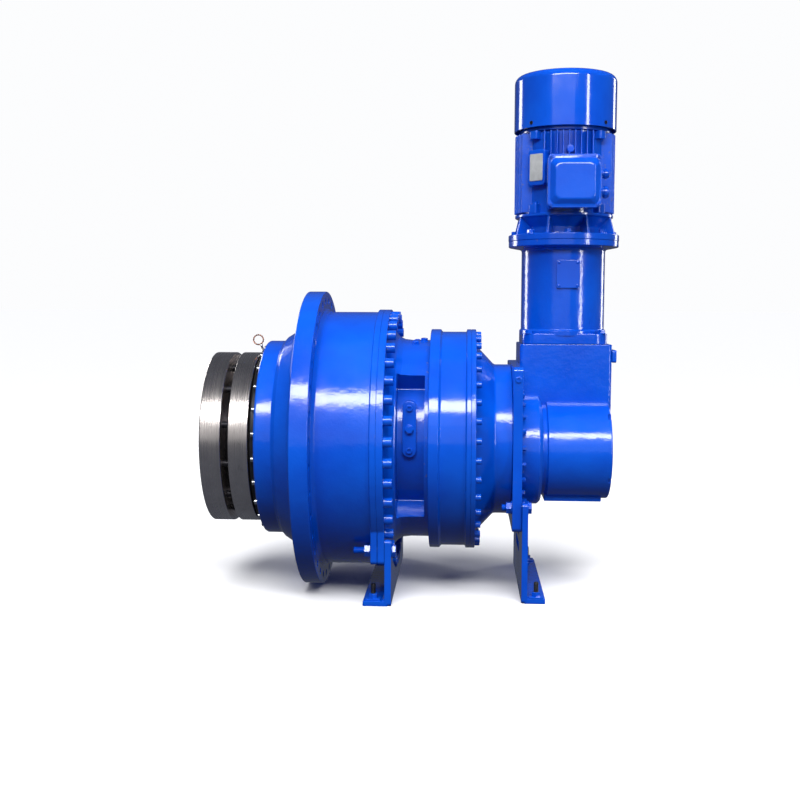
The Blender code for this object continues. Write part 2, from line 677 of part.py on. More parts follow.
def bevel_gear(name, teeth, mate_teeth, direction, bore, turn):
    """Straight bevel gear whose cone apex is where the two gear axes cross."""
    radius = teeth * BEVEL_MODULE / 2.0
    depth = mate_teeth * BEVEL_MODULE / 2.0
    shrink = 1.0 - BEVEL_FACE / math.hypot(radius, depth)
    frame = axis_frame(direction, (MOTOR_X, MOTOR_Y, AXIS_Z + COUNTER_Z))
    bm = bmesh.new()
    outline = tooth_outline(teeth, BEVEL_MODULE, BEVEL_ADDENDUM, BEVEL_DEDENDUM, turn,
                            BEVEL_TOOTH_WIDTH)
    rows = []
    for scale in (1.0, shrink):
        points = [Vector((a * scale, b * scale, depth * scale)) for a, b in outline]
        rows.append([bm.verts.new(frame @ point) for point in points])
    bm.faces.new(rows[0])
    bm.faces.new(rows[1][::-1])
    count = len(outline)
    for step in range(count):
        after = (step + 1) % count
        bm.faces.new((rows[0][step], rows[1][step], rows[1][after], rows[0][after]))
    item = finish_object(name, bm, "gear")
    if bore:
        hole = revolve_bmesh([(0.0, 0.0), (bore, 0.0), (bore, 0.2), (0.0, 0.2)],
                             SMALL_FACETS, frame)
        cut(item, finish_object("bore", hole, "gear"))
    return item


def bevel_train():
    """Countershaft, bevel wheel and the vertical bevel pinion shaft."""
    y, z = COUNTER_Y, AXIS_Z + COUNTER_Z
    shaft = spur_gear("countershaft", SPUR_PINION_TEETH, SPUR_MODULE, SPUR_X0 - 0.002,
                      SPUR_X1 + 0.002, 0.0,
                      COUNTER_ANGLE + math.pi + math.pi / SPUR_PINION_TEETH,
                      COUNTER_Y, COUNTER_Z)
    join(shaft, rod("left", (0.252, y, z), (0.270, y, z), 0.018, "gear", SMALL_FACETS))
    join(shaft, rod("right", (0.300, y, z), (0.490, y, z), 0.018, "gear", SMALL_FACETS))
    set_origin(shaft, (SPUR_X0, y, z))
    wheel = bevel_gear("bevel_wheel", BEVEL_WHEEL_TEETH, BEVEL_PINION_TEETH, (-1, 0, 0),
                       0.0183, BEVEL_WHEEL_TURN)
    set_origin(wheel, (MOTOR_X, y, z))
    pinion = bevel_gear("bevel_pinion_shaft", BEVEL_PINION_TEETH, BEVEL_WHEEL_TEETH,
                        (0, 0, 1), 0.0, BEVEL_PINION_TURN)
    join(pinion, rod("stem", (MOTOR_X, y, z + 0.070), (MOTOR_X, y, AXIS_Z + 0.520),
                     0.022, "gear", SMALL_FACETS))
    set_origin(pinion, (MOTOR_X, y, z))
    bore = running_bore(0.018, SMALL_FACETS)
    lathe_x("countershaft_bearing", [
        (0.455, bore), (0.455, 0.040), (0.475, 0.040), (0.475, bore)],
        "steel", SMALL_FACETS, COUNTER_Y, COUNTER_Z)
    bore = running_bore(0.022, SMALL_FACETS)
    lathe_z("pinion_bearing", [
        (bore, 0.312), (0.065, 0.312), (0.065, 0.342), (bore, 0.342)],
        "steel", SMALL_FACETS)


# ---------------------------------------------------------------- column and motor
def column_and_motor():
    half = 0.137
    base = rounded_rectangle(-half, half, -half, half, 0.050, 2)
    column = prism_z("adapter_column", [base], COLUMN_Z0, COLUMN_BASE_Z, "blue")
    join(column, lathe_z("tube", [
        (0.0, 0.332), (0.141, 0.332), (0.141, 0.347), (COLUMN_R, 0.351),
        (COLUMN_R, 0.610), (MOTOR_FLANGE_R - 0.001, 0.618),
        (MOTOR_FLANGE_R - 0.001, COLUMN_Z1), (0.0, COLUMN_Z1)], "blue"))
    cut(column, lathe_z("bore", [
        (0.0, 0.29), (0.068, 0.29), (0.068, 0.365), (0.114, 0.385), (0.114, 0.650),
        (0.0, 0.650)], "blue"))
    plate = rounded_rectangle(0.346, 0.420, 0.483, 0.572, 0.004, 1)
    front = MOTOR_Y - COLUMN_R
    prism_y("column_plate", [plate], front - 0.006, front - 0.001, "blue")
    lathe_z("shaft_coupling", [
        (0.0223, 0.440), (0.055, 0.440), (0.055, 0.590), (0.0223, 0.590)],
        "dark", SMALL_FACETS)
    lathe_z("motor_end_shield", [
        (0.045, SHIELD_Z0), (MOTOR_FLANGE_R, SHIELD_Z0),
        (MOTOR_FLANGE_R, FLANGE_TOP_Z), (0.138, FLANGE_TOP_Z), (0.138, 0.672),
        (0.159, 0.713), (0.159, SHIELD_Z1), (0.118, SHIELD_Z1), (0.118, 0.700),
        (0.045, 0.672)], "blue")
    frame = lathe_z("motor_frame", [
        (0.116, FRAME_Z0), (FRAME_R, FRAME_Z0), (FRAME_R, FRAME_Z1),
        (0.116, FRAME_Z1)], "blue")
    join(frame, frame_fins())
    lathe_z("stator", [
        (0.079, 0.755), (0.1145, 0.755), (0.1145, 0.940), (0.079, 0.940)], "copper")
    lathe_z("rear_end_shield", [
        (0.026, FRAME_Z1 + GAP), (0.146, FRAME_Z1 + GAP), (0.146, 0.994),
        (0.026, 1.006)], "blue")
    lathe_z("fan_cowl", [
        (COWL_R - 0.003, COWL_Z0), (COWL_R, COWL_Z0), (COWL_R, COWL_Z1 - 0.018),
        (COWL_R - 0.018, COWL_Z1), (0.045, COWL_Z1), (0.045, COWL_Z1 - 0.003),
        (COWL_R - 0.020, COWL_Z1 - 0.003), (COWL_R - 0.003, COWL_Z1 - 0.019)],
        "blue")
    rotor_and_fan()
    terminal_box()


def fin_plates(bm, offsets, side, along_x, low, high):
    """Flat fins in one direction, reaching from inside the wall to the fin circle."""
    for offset in offsets:
        ends = sorted((side * math.sqrt(FIN_ROOT_R ** 2 - offset ** 2),
                       side * math.sqrt(FIN_R ** 2 - offset ** 2)))
        thick = (offset - 0.0022, offset + 0.0022)
        spans = (ends, thick) if along_x else (thick, ends)
        corners = [(spans[0][0], spans[1][0]), (spans[0][1], spans[1][0]),
                   (spans[0][1], spans[1][1]), (spans[0][0], spans[1][1])]
        rows = []
        for z in (low, high):
            rows.append([bm.verts.new((MOTOR_X + x, MOTOR_Y + y, AXIS_Z + z))
                         for x, y in corners])
        bm.faces.new(rows[0][::-1])
        bm.faces.new(rows[1])
        for k in range(4):
            after = (k + 1) % 4
            bm.faces.new((rows[0][k], rows[0][after], rows[1][after], rows[1][k]))


def frame_fins():
    """Cooling fins parallel to the motor axis, short ones above the terminal box."""
    bm = bmesh.new()
    low, high = FRAME_Z0 + 0.006, FRAME_Z1 - 0.004
    every = [index * 0.019 for index in range(-4, 5)]
    fin_plates(bm, every, -1, True, low, high)
    fin_plates(bm, every, 1, True, low, high)
    fin_plates(bm, every, 1, False, low, high)
    fin_plates(bm, every, -1, False, BOX_TOP_Z + 0.004, high)
    return finish_object("fins", bm, "blue")


def rotor_and_fan():
    lathe_z("rotor", [
        (0.0, 0.5206), (0.022, 0.5206), (0.022, 0.745), (0.0775, 0.750),
        (0.0775, 0.945), (0.022, 0.950), (0.022, 1.140), (0.0, 1.140)],
        "gear", SMALL_FACETS)
    bore = running_bore(0.022, SMALL_FACETS)
    lathe_z("motor_bearing", [
        (bore, 0.640), (0.0445, 0.640), (0.0445, 0.668), (bore, 0.668)],
        "steel", SMALL_FACETS)
    fan = lathe_z("fan", [
        (0.0223, 1.055), (0.045, 1.055), (0.045, 1.105), (0.125, 1.111),
        (0.125, 1.115), (0.0223, 1.115)], "dark", SMALL_FACETS)
    bm = bmesh.new()
    for index in range(7):
        turn = Matrix.Rotation(2.0 * math.pi * index / 7, 4, "Z")
        rows = []
        for z in (1.065, 1.113):
            corners = [(0.040, -0.0015), (0.122, -0.0015), (0.122, 0.0015),
                       (0.040, 0.0015)]
            rows.append([bm.verts.new(turn @ Vector((a, b, z + AXIS_Z)))
                         for a, b in corners])
        bm.faces.new(rows[0][::-1])
        bm.faces.new(rows[1])
        for k in range(4):
            after = (k + 1) % 4
            bm.faces.new((rows[0][k], rows[0][after], rows[1][after], rows[1][k]))
    bmesh.ops.translate(bm, vec=(MOTOR_X, MOTOR_Y, 0.0), verts=bm.verts)
    join(fan, finish_object("blades", bm, "dark"))


def terminal_box():
    back = MOTOR_Y - FRAME_R - 0.001
    outline = rounded_rectangle(BOX_LEFT, BOX_RIGHT, BOX_BOTTOM_Z, BOX_TOP_Z, 0.012, 2)
    inside = rounded_rectangle(BOX_LEFT + 0.006, BOX_RIGHT - 0.006,
                               BOX_BOTTOM_Z + 0.006, BOX_TOP_Z - 0.006, 0.006, 1)
    box = prism_y("terminal_box", [outline], BOX_FRONT_Y, back, "blue")
    cut(box, prism_y("inside", [inside], BOX_FRONT_Y - 0.01, back - 0.006, "blue"))
    lid = prism_y("terminal_cover", [outline], BOX_FRONT_Y - 0.008, BOX_FRONT_Y - GAP,
                  "blue")
    raised = rounded_rectangle(BOX_LEFT + 0.024, BOX_RIGHT - 0.006,
                               BOX_BOTTOM_Z + 0.020, BOX_TOP_Z - 0.028, 0.014, 2)
    join(lid, prism_y("raised", [raised], BOX_FRONT_Y - 0.024, BOX_FRONT_Y - 0.004,
                      "blue"))
    for name, z, radius in (("cable_gland_1", 0.835, 0.017),
                            ("cable_gland_2", 0.779, 0.022)):
        centre = Vector((BOX_RIGHT + GAP, -0.055, AXIS_Z + z))
        loop = [(0.0, 0.0), (radius, 0.0), (radius, 0.014), (radius * 0.8, 0.016),
                (radius * 0.7, 0.032), (0.0, 0.032)]
        frame = axis_frame((1, 0, 0), centre)
        finish_object(name, revolve_bmesh(loop, 12, frame), "blue")
    badge = prism_x("rating_plate", [rounded_rectangle(-0.024, 0.024, 0.822, 0.906,
                                                       0.003, 1)],
                    FIN_R + 0.0005, FIN_R + 0.0025, "plate")
    badge.data.transform(Matrix.Translation((MOTOR_X, MOTOR_Y, 0.0))
                         @ Matrix.Rotation(math.radians(232.0), 4, "Z"))


# ---------------------------------------------------------------- support brackets
def bracket(name, half_y, top, x0, thickness, toe, clearance, centre_z, slots):
    """Upright plate on a base plate, cut clear of the round flange it carries."""
    outline = rounded_rectangle(-half_y, half_y, FLOOR_Z + 0.0006, top, 0.006, 1)
    item = prism_x(name, [outline], x0, x0 + thickness, "blue")
    room = [(x0 - 0.01, 0.0), (x0 - 0.01, clearance), (x0 + thickness + 0.01, clearance),
            (x0 + thickness + 0.01, 0.0)]
    cut(item, lathe_x("room", room, "blue", FACETS, 0.0, centre_z))
    low, high = sorted((x0 + thickness / 2.0, toe))
    join(item, block("base", (low, -half_y + 0.0005, FLOOR_Z),
                     (high, half_y - 0.0005, FLOOR_Z + 0.0150), "blue"))
    for z0, z1 in slots:
        slot = rounded_rectangle(-0.090, 0.090, z0, z1, 0.014, 3)
        cut(item, prism_x("slot", [slot], x0 - 0.01, x0 + thickness + 0.01, "blue"))
    return item


def bracket_bolt(name, y, z, ends, nut, head):
    """Through bolt with its nut, turned as one piece along X."""
    item = rod(name, (ends[0], y, AXIS_Z + z), (ends[1], y, AXIS_Z + z), 0.0108,
               "blue", 8)
    join(item, rods_along_x("nut", [(y, z)], nut[0], nut[1], 0.019, 6, "blue"))
    join(item, rods_along_x("head", [(y, z)], head[0], head[1], 0.019, 6, "blue"))
    return item


def supports():
    front_x1 = FRONT_X0 + FRONT_T
    front = bracket("front_bracket", FRONT_Y, -0.270, FRONT_X0, FRONT_T, -0.242, 0.4165,
                    0.0, [])
    points = [(side * FRONT_BOLT_Y, FRONT_BOLT_Z) for side in (-1, 1)]
    cut(front, rods_along_x("holes", points, -0.19, -0.14, 0.0115, 12))
    rear_x1 = REAR_X0 + REAR_T
    rear = bracket("rear_bracket", REAR_Y, -0.166, REAR_X0, REAR_T, 0.305, 0.2085,
                   CASE_Z, [(-0.300, -0.264), (-0.352, -0.320)])
    points = [(side * REAR_BOLT_Y, REAR_BOLT_Z) for side in (-1, 1)]
    cut(rear, rods_along_x("holes", points, 0.20, 0.26, 0.0115, 12))
    lug_x0 = JOINT_X0 - 0.002
    for side, label in ((-1, "near"), (1, "far")):
        bracket_bolt("front_bolt_" + label, side * FRONT_BOLT_Y, FRONT_BOLT_Z,
                     (-0.272, front_x1 + 0.006), (lug_x0 - 0.021, lug_x0 - GAP),
                     (front_x1 + GAP, front_x1 + 0.013))
        bracket_bolt("rear_bolt_" + label, side * REAR_BOLT_Y, REAR_BOLT_Z,
                     (0.172, rear_x1 + 0.006), (PLATE_X0 - 0.019, PLATE_X0 - GAP),
                     (rear_x1 + GAP, rear_x1 + 0.012))


def centre_over_origin():
    """Shift everything along X so that the origin is under the middle."""
    for item in bpy.data.objects:
        item.location.x -= (DISC_X0 + MOTOR_X + MOTOR_FLANGE_R) / 2.0


clear_scene()
output_parts()
output_carrier()
shrink_disc()
middle_parts()
input_stage()
bevel_parts()
bevel_train()
column_and_motor()
supports()
centre_over_origin()
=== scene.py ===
"""Looks of the planetary gearbox: fine surfaces, finishes, lights and camera.

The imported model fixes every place. Sizes are in metres. Places are counted from
the gearbox axis: x from the frame's datum along the axis, z up from the axis.
"""

from math import cos, pi, radians, sin, sqrt, tan

import bmesh
import bpy
from mathutils import Matrix, Vector


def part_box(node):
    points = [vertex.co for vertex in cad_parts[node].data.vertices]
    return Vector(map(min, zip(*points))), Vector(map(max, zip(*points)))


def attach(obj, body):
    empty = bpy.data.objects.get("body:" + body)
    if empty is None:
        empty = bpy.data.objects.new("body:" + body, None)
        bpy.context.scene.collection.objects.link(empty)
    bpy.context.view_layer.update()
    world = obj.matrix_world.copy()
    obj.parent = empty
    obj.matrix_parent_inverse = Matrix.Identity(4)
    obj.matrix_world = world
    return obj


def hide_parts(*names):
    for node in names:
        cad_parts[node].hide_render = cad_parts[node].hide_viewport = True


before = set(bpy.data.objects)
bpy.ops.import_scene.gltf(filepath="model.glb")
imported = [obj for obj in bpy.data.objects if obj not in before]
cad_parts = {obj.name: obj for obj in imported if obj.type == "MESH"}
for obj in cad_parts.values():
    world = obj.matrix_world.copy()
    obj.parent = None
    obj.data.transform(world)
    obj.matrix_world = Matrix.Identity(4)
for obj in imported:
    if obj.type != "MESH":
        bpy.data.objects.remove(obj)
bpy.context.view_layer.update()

# ---------------------------------------------------------------- places from the frame
HUB_FACE = -0.5745           # left face of the main casting, counted from the datum
HOUSING_LOW, HOUSING_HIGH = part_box("output_housing")
DATUM_X = HOUSING_LOW.x - HUB_FACE
AXIS_Z = (HOUSING_LOW.z + HOUSING_HIGH.z) / 2.0
FLANGE_R = (HOUSING_HIGH.z - HOUSING_LOW.z) / 2.0
COLUMN_LOW, COLUMN_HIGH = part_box("adapter_column")
MOTOR_X = (COLUMN_LOW.x + COLUMN_HIGH.x) / 2.0 - DATUM_X
MOTOR_Y = (COLUMN_LOW.y + COLUMN_HIGH.y) / 2.0
FLOOR = -AXIS_Z

GAP = 0.0003
FINE = 176                   # sides of the large turned pieces
MEDIUM = 96
SMALL = 32

BLUE = (0.0012, 0.078, 0.560)
DEEP_BLUE = (0.0010, 0.056, 0.470)


# ---------------------------------------------------------------- materials
def fill(tree, node, inputs):
    """Give each named input a number, a colour or another node's output."""
    for name, value in inputs.items():
        if isinstance(value, bpy.types.NodeSocket):
            tree.links.new(value, node.inputs[name])
        else:
            colour = isinstance(value, tuple)
            node.inputs[name].default_value = (*value, 1.0) if colour else value


def add_node(tree, kind, output, inputs, **settings):
    """New shader node with its settings and inputs; the result is one of its outputs."""
    node = tree.nodes.new("ShaderNode" + kind)
    for name, value in settings.items():
        setattr(node, name, value)
    fill(tree, node, inputs)
    return node.outputs[output]


def new_material(name):
    material = bpy.data.materials.new(name)
    material.use_nodes = True
    return material, material.node_tree, material.node_tree.nodes["Principled BSDF"]


def noise(tree, vector, scale, detail=3.0, roughness=0.5):
    return add_node(tree, "TexNoise", "Fac", {
        "Vector": vector, "Scale": scale, "Detail": detail, "Roughness": roughness})


def ramp(tree, value, low, high, start, end):
    """Map a value between two limits onto a new range, without running past it."""
    return add_node(tree, "MapRange", "Result", {
        "Value": value, "From Min": low, "From Max": high, "To Min": start, "To Max": end})


def mix(tree, share, first, second):
    """Mix two colours; each is a fixed colour or a socket."""
    return add_node(tree, "Mix", "Result", {"Factor": share, "A": first, "B": second},
                    data_type="RGBA")


def bump(tree, height, strength, distance, below=None):
    inputs = {"Height": height, "Strength": strength, "Distance": distance}
    if below is not None:
        inputs["Normal"] = below
    return add_node(tree, "Bump", "Normal", inputs)


def enamel(name, grain_scale, grain, peel, gloss=(0.10, 0.24)):
    """Gloss blue enamel: the metal's own grain, then the paint's orange peel."""
    material, tree, shader = new_material(name)
    place = add_node(tree, "TexCoord", "Object", {})
    patches = ramp(tree, noise(tree, place, 5.0, 4.0), 0.35, 0.65, 0.0, 1.0)
    colour = mix(tree, patches, BLUE, DEEP_BLUE)
    edges = ramp(tree, add_node(tree, "NewGeometry", "Pointiness", {}), 0.54, 0.60, 0.0, 1.0)
    flakes = ramp(tree, noise(tree, place, 70.0, 5.0, 0.7), 0.60, 0.68, 0.0, 0.75)
    worn = add_node(tree, "Math", "Value", {0: edges, 1: flakes}, operation="MULTIPLY")
    colour = mix(tree, worn, colour, (0.10, 0.11, 0.13))
    specks = ramp(tree, noise(tree, place, 420.0, 2.0), 0.76, 0.82, 0.0, 0.5)
    colour = mix(tree, specks, colour, (0.16, 0.20, 0.30))
    smears = ramp(tree, noise(tree, place, 14.0, 5.0, 0.6), 0.35, 0.70, *gloss)
    rough = bump(tree, noise(tree, place, grain_scale, 4.0, 0.55), grain, 0.004)
    paint = bump(tree, noise(tree, place, 190.0, 2.0), peel, 0.0012, rough)
    fill(tree, shader, {
        "Base Color": colour, "Roughness": smears, "Specular IOR Level": 0.5,
        "Coat Weight": 0.45, "Coat Roughness": 0.05, "Normal": paint, "Coat Normal": paint})
    return material


def axis_lines(tree, place, density):
    """Noise that varies along X and with the distance from the axis only."""
    parts = add_node(tree, "SeparateXYZ", "X", {"Vector": place}).node.outputs
    lift = add_node(tree, "Math", "Value", {0: parts["Z"], 1: AXIS_Z}, operation="SUBTRACT")
    flat = add_node(tree, "CombineXYZ", "Vector", {"X": parts["Y"], "Y": lift})
    length = add_node(tree, "VectorMath", "Value", {0: flat}, operation="LENGTH")
    lines = add_node(tree, "CombineXYZ", "Vector", {"X": parts["X"], "Y": length})
    return noise(tree, lines, density, 3.0, 0.7)


def turned_steel(name, light, dark, gloss, marks):
    """Bare steel with lathe marks round the gearbox axis and a film of oil."""
    material, tree, shader = new_material(name)
    place = add_node(tree, "TexCoord", "Object", {})
    lines = axis_lines(tree, place, 650.0)
    tone = ramp(tree, noise(tree, place, 9.0, 5.0, 0.6), 0.38, 0.66, 0.0, 1.0)
    colour = mix(tree, tone, light, dark)
    stain = ramp(tree, noise(tree, place, 26.0, 6.0, 0.7), 0.62, 0.74, 0.0, 0.55)
    colour = mix(tree, stain, colour, tuple(value * 0.45 for value in dark))
    fill(tree, shader, {
        "Base Color": colour, "Metallic": 1.0, "Roughness": ramp(tree, lines, 0.3, 0.7, *gloss),
        "Normal": bump(tree, lines, marks, 0.0006)})
    return material


def plain_metal(name, light, dark, gloss, metallic, scale=60.0, grain=0.12):
    """Metal or other hard finish with clouded colour, uneven gloss and fine grain."""
    material, tree, shader = new_material(name)
    place = add_node(tree, "TexCoord", "Object", {})
    clouds = ramp(tree, noise(tree, place, scale * 0.4, 4.0), 0.35, 0.65, 0.0, 1.0)
    fine = noise(tree, place, scale * 6.0, 3.0)
    fill(tree, shader, {
        "Base Color": mix(tree, clouds, light, dark), "Metallic": metallic,
        "Roughness": ramp(tree, fine, 0.3, 0.7, *gloss),
        "Normal": bump(tree, fine, grain, 0.0008)})
    return material


FINISH = {
    "cast": enamel("enamel_on_casting", 34.0, 0.22, 0.16),
    "machined": enamel("enamel_on_machined_iron", 20.0, 0.08, 0.10, (0.08, 0.18)),
    "sheet": enamel("enamel_on_sheet", 9.0, 0.03, 0.03, (0.08, 0.16)),
    "alloy": enamel("enamel_on_aluminium_casting", 60.0, 0.12, 0.05),
    "steel": turned_steel("turned_steel", (0.90, 0.83, 0.79), (0.72, 0.66, 0.63),
                          (0.20, 0.32), 0.10),
    "gear": plain_metal("ground_gear_steel", (0.36, 0.37, 0.39), (0.24, 0.25, 0.27),
                        (0.22, 0.40), 1.0),
    "dark": plain_metal("blackened_steel", (0.030, 0.030, 0.036), (0.014, 0.014, 0.018),
                        (0.30, 0.50), 0.6),
    "zinc": plain_metal("zinc_plated_steel", (0.70, 0.71, 0.72), (0.50, 0.51, 0.54),
                        (0.14, 0.30), 1.0),
    "rubber": plain_metal("seal_rubber", (0.020, 0.020, 0.021), (0.010, 0.010, 0.011),
                          (0.55, 0.75), 0.0),
    "copper": plain_metal("copper_wire", (0.62, 0.30, 0.18), (0.38, 0.16, 0.09),
                          (0.25, 0.42), 1.0),
    "plate": plain_metal("satin_aluminium", (0.60, 0.61, 0.60), (0.46, 0.47, 0.46),
                         (0.28, 0.44), 0.35, 90.0),
}


# ---------------------------------------------------------------- shape tools
def at(x, y, z):
    """World point of a place counted from the gearbox axis and datum."""
    return Vector((DATUM_X + x, y, AXIS_Z + z))


def frame_at(origin, direction=(1, 0, 0)):
    """Matrix that takes local +Z to a direction and local zero to a place."""
    turn = Vector(direction).normalized().to_track_quat("Z", "Y").to_matrix()
    return Matrix.Translation(at(*origin)) @ turn.to_4x4()


def rounded(outline, steps=4):
    """Round the corners of a closed outline; a point is (a, b) or (a, b, radius)."""
    points = []
    count = len(outline)
    for index, corner in enumerate(outline):
        here = Vector(corner[:2])
        before = Vector(outline[index - 1][:2]) - here
        after = Vector(outline[(index + 1) % count][:2]) - here
        radius = corner[2] if len(corner) > 2 else 0.0
        half = before.angle(after, pi) / 2.0
        if radius <= 0.0 or half > 1.55:
            points.append(here)
            continue
        reach = min(radius / tan(half), 0.48 * before.length, 0.48 * after.length)
        radius = reach * tan(half)
        middle = (before.normalized() + after.normalized()).normalized()
        centre = here + middle * (radius / sin(half))
        start = here + before.normalized() * reach - centre
        end = here + after.normalized() * reach - centre
        for step in range(steps + 1):
            points.append(centre + start.slerp(end, step / steps).normalized() * radius)
    return points


def rectangle(a0, a1, b0, b1, radius=0.0, steps=5):
    corners = [(a1, b1, radius), (a0, b1, radius), (a0, b0, radius), (a1, b0, radius)]
    return rounded(corners, steps)


def polar(radius, turn):
    return radius * cos(turn), radius * sin(turn)


def turns_of(count, phase=0.5):
    return [2.0 * pi * (step + phase) / count for step in range(count)]


def circle(radius, sides, a=0.0, b=0.0):
    return [Vector((a + radius * cos(t), b + radius * sin(t))) for t in turns_of(sides)]


def add_turned(bm, place, outline, sides):
    """Revolve a (radius, height) outline about the local Z of a frame."""
    rings = []
    for radius, height in outline:
        if radius < 1e-6:
            rings.append([bm.verts.new(place @ Vector((0.0, 0.0, height)))])
            continue
        points = [Vector((*polar(radius, t), height)) for t in turns_of(sides)]
        rings.append([bm.verts.new(place @ point) for point in points])
    for index, ring in enumerate(rings):
        following = rings[(index + 1) % len(rings)]
        if len(ring) == 1 and len(following) == 1:
            continue
        for step in range(sides):
            after = (step + 1) % sides
            corners = [ring[step % len(ring)], following[step % len(following)],
                       following[after % len(following)], ring[after % len(ring)]]
            bm.faces.new(list(dict.fromkeys(corners)))
    return bm


def turned_x(profile, sides=FINE, y=0.0, z=0.0, steps=4):
    """Body turned about an axis along X; the profile lists (x, radius, corner radius)."""
    outline = [(radius, x) for x, radius in rounded(profile, steps)]
    return add_turned(bmesh.new(), frame_at((0.0, y, z)), outline, sides)


def turned_z(profile, sides=MEDIUM, x=None, y=None, steps=4):
    """Body turned about an upright axis; the profile lists (radius, z, corner radius)."""
    centre = (MOTOR_X if x is None else x, MOTOR_Y if y is None else y, 0.0)
    outline = [tuple(point) for point in rounded(profile, steps)]
    return add_turned(bmesh.new(), frame_at(centre, (0, 0, 1)), outline, sides)


def shrunk(loop, amount):
    """Move each point of a closed outline towards its inside."""
    count = len(loop)
    area = sum(loop[k - 1].x * loop[k].y - loop[k].x * loop[k - 1].y for k in range(count))
    side = 1.0 if area > 0.0 else -1.0
    moved = []
    for index, point in enumerate(loop):
        along = (loop[(index + 1) % count] - loop[index - 1]).normalized()
        moved.append(point + Vector((-along.y, along.x)) * side * amount)
    return moved


def add_walls(bm, rows):
    """Join each closed row of vertices to the next with quads."""
    for lower, upper in zip(rows, rows[1:]):
        for step in range(len(lower)):
            after = (step + 1) % len(lower)
            bm.faces.new((lower[step], lower[after], upper[after], upper[step]))


def add_prism(bm, loops, low, high, place, chamfer=0.0):
    """Extrude nested outlines, outer one first, with softened end edges."""
    caps = ([], [])
    for order, loop in enumerate(loops):
        loop = [Vector(point[:2]) for point in loop]
        inset = shrunk(loop, chamfer if order == 0 else -chamfer)
        soft = 0.3 * chamfer
        nearly = shrunk(loop, soft if order == 0 else -soft)
        levels = [(inset, low), (nearly, low + soft), (loop, low + chamfer),
                  (loop, high - chamfer), (nearly, high - soft), (inset, high)]
        if chamfer == 0.0:
            levels = [(loop, low), (loop, high)]
        rows = [[bm.verts.new(place @ Vector((p.x, p.y, level))) for p in points]
                for points, level in levels]
        count = len(loop)
        for side, row in ((0, rows[0]), (1, rows[-1])):
            for step in range(count):
                caps[side].append(bm.edges.new((row[step], row[(step + 1) % count])))
        add_walls(bm, rows)
    for edges in caps:
        bmesh.ops.triangle_fill(bm, use_beauty=True, use_dissolve=False, edges=edges)
    return bm


def prism(loops, low, high, place, chamfer=0.0):
    """New bmesh with one extruded outline."""
    return add_prism(bmesh.new(), loops, low, high, place, chamfer)


def frame_x(y=0.0, z=0.0):
    """Frame whose outlines are (y, z) and whose depth runs along X."""
    columns = ((0, 0, 1, 0), (1, 0, 0, 0), (0, 1, 0, 0), (0, 0, 0, 1))
    return Matrix.Translation(at(0.0, y, z)) @ Matrix(columns)


def frame_y():
    """Frame whose outlines are (x, z) and whose depth runs along Y."""
    columns = ((1, 0, 0, 0), (0, 0, 1, 0), (0, 1, 0, 0), (0, 0, 0, 1))
    return Matrix.Translation(at(0.0, 0.0, 0.0)) @ Matrix(columns)


def frame_z(x=0.0, y=0.0):
    """Frame whose outlines are (x, y) and whose depth runs up."""
    return Matrix.Translation(at(x, y, 0.0))


def put_in_scene(name, data):
    item = bpy.data.objects.new(name, data)
    bpy.context.scene.collection.objects.link(item)
    return item


def solid(name, bm):
    """Object from a bmesh, with its faces pointing out."""
    bmesh.ops.recalc_face_normals(bm, faces=bm.faces)
    mesh = bpy.data.meshes.new(name)
    bm.to_mesh(mesh)
    bm.free()
    return put_in_scene(name, mesh)


def mesh_of(item):
    """Turn an object back into a bmesh and remove it."""
    bm = bmesh.new()
    bm.from_mesh(item.data)
    bpy.data.objects.remove(item, do_unlink=True)
    return bm


def combine(target, bm, operation):
    """Exact Boolean of an object with a bmesh."""
    tool = solid("tool", bm)
    modifier = target.modifiers.new("cut", "BOOLEAN")
    modifier.operation = operation
    modifier.solver = "EXACT"
    modifier.object = tool
    graph = bpy.context.evaluated_depsgraph_get()
    result = bpy.data.meshes.new_from_object(target.evaluated_get(graph))
    target.modifiers.clear()
    target.data = result
    bpy.data.objects.remove(tool, do_unlink=True)
    return target


def cut(target, bm):
    return combine(target, bm, "DIFFERENCE")


def join(target, bm):
    return combine(target, bm, "UNION")


def dress(item, finish, slot, *nodes, body="housing", sharp=38.0):
    """Shade a finished piece, let it ride on its body and stand for its CAD nodes."""
    mesh = item.data
    mesh.materials.clear()
    mesh.materials.append(FINISH[finish])
    for face in mesh.polygons:
        face.use_smooth = True
        face.material_index = 0
    mesh.set_sharp_from_angle(angle=radians(sharp))
    weighted = item.modifiers.new("normals", "WEIGHTED_NORMAL")
    weighted.keep_sharp = True
    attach(item, body)
    if nodes:
        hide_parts(*nodes)
    return item


def painted(name, bm, *nodes):
    """Small painted parts of the housing, in the finish of machined iron."""
    return dress(solid(name, bm), "machined", "blue_metal", *nodes)


def ring_places(count, radius, phase=0.5, y=0.0, z=0.0):
    """Evenly spaced (y, z) points on a circle about an axis along X."""
    return [(y + radius * cos(t), z + radius * sin(t)) for t in turns_of(count, phase)]


# ---------------------------------------------------------------- fasteners
def add_hexagon(bm, place, low, high, across, chamfer=0.0015, turn=0.0):
    """Hexagon with softened top corners; across is its corner radius."""
    levels = ((low, 1.0), (high - chamfer, 1.0), (high - 0.3 * chamfer, 0.965), (high, 0.90))
    rows = []
    for level, share in levels:
        turns = [turn + pi * step / 3.0 for step in range(6)]
        rows.append([bm.verts.new(place @ Vector((*polar(across * share, t), level)))
                     for t in turns])
    add_walls(bm, rows)
    bm.faces.new(rows[0][::-1])
    bm.faces.new(rows[-1])


def add_disc(bm, place, low, high, radius, edge, sides=SMALL):
    """Solid disc with a rounded upper rim."""
    outline = rounded([(0.0, low), (radius, low), (radius, high, edge), (0.0, high)], 3)
    add_turned(bm, place, outline, sides)


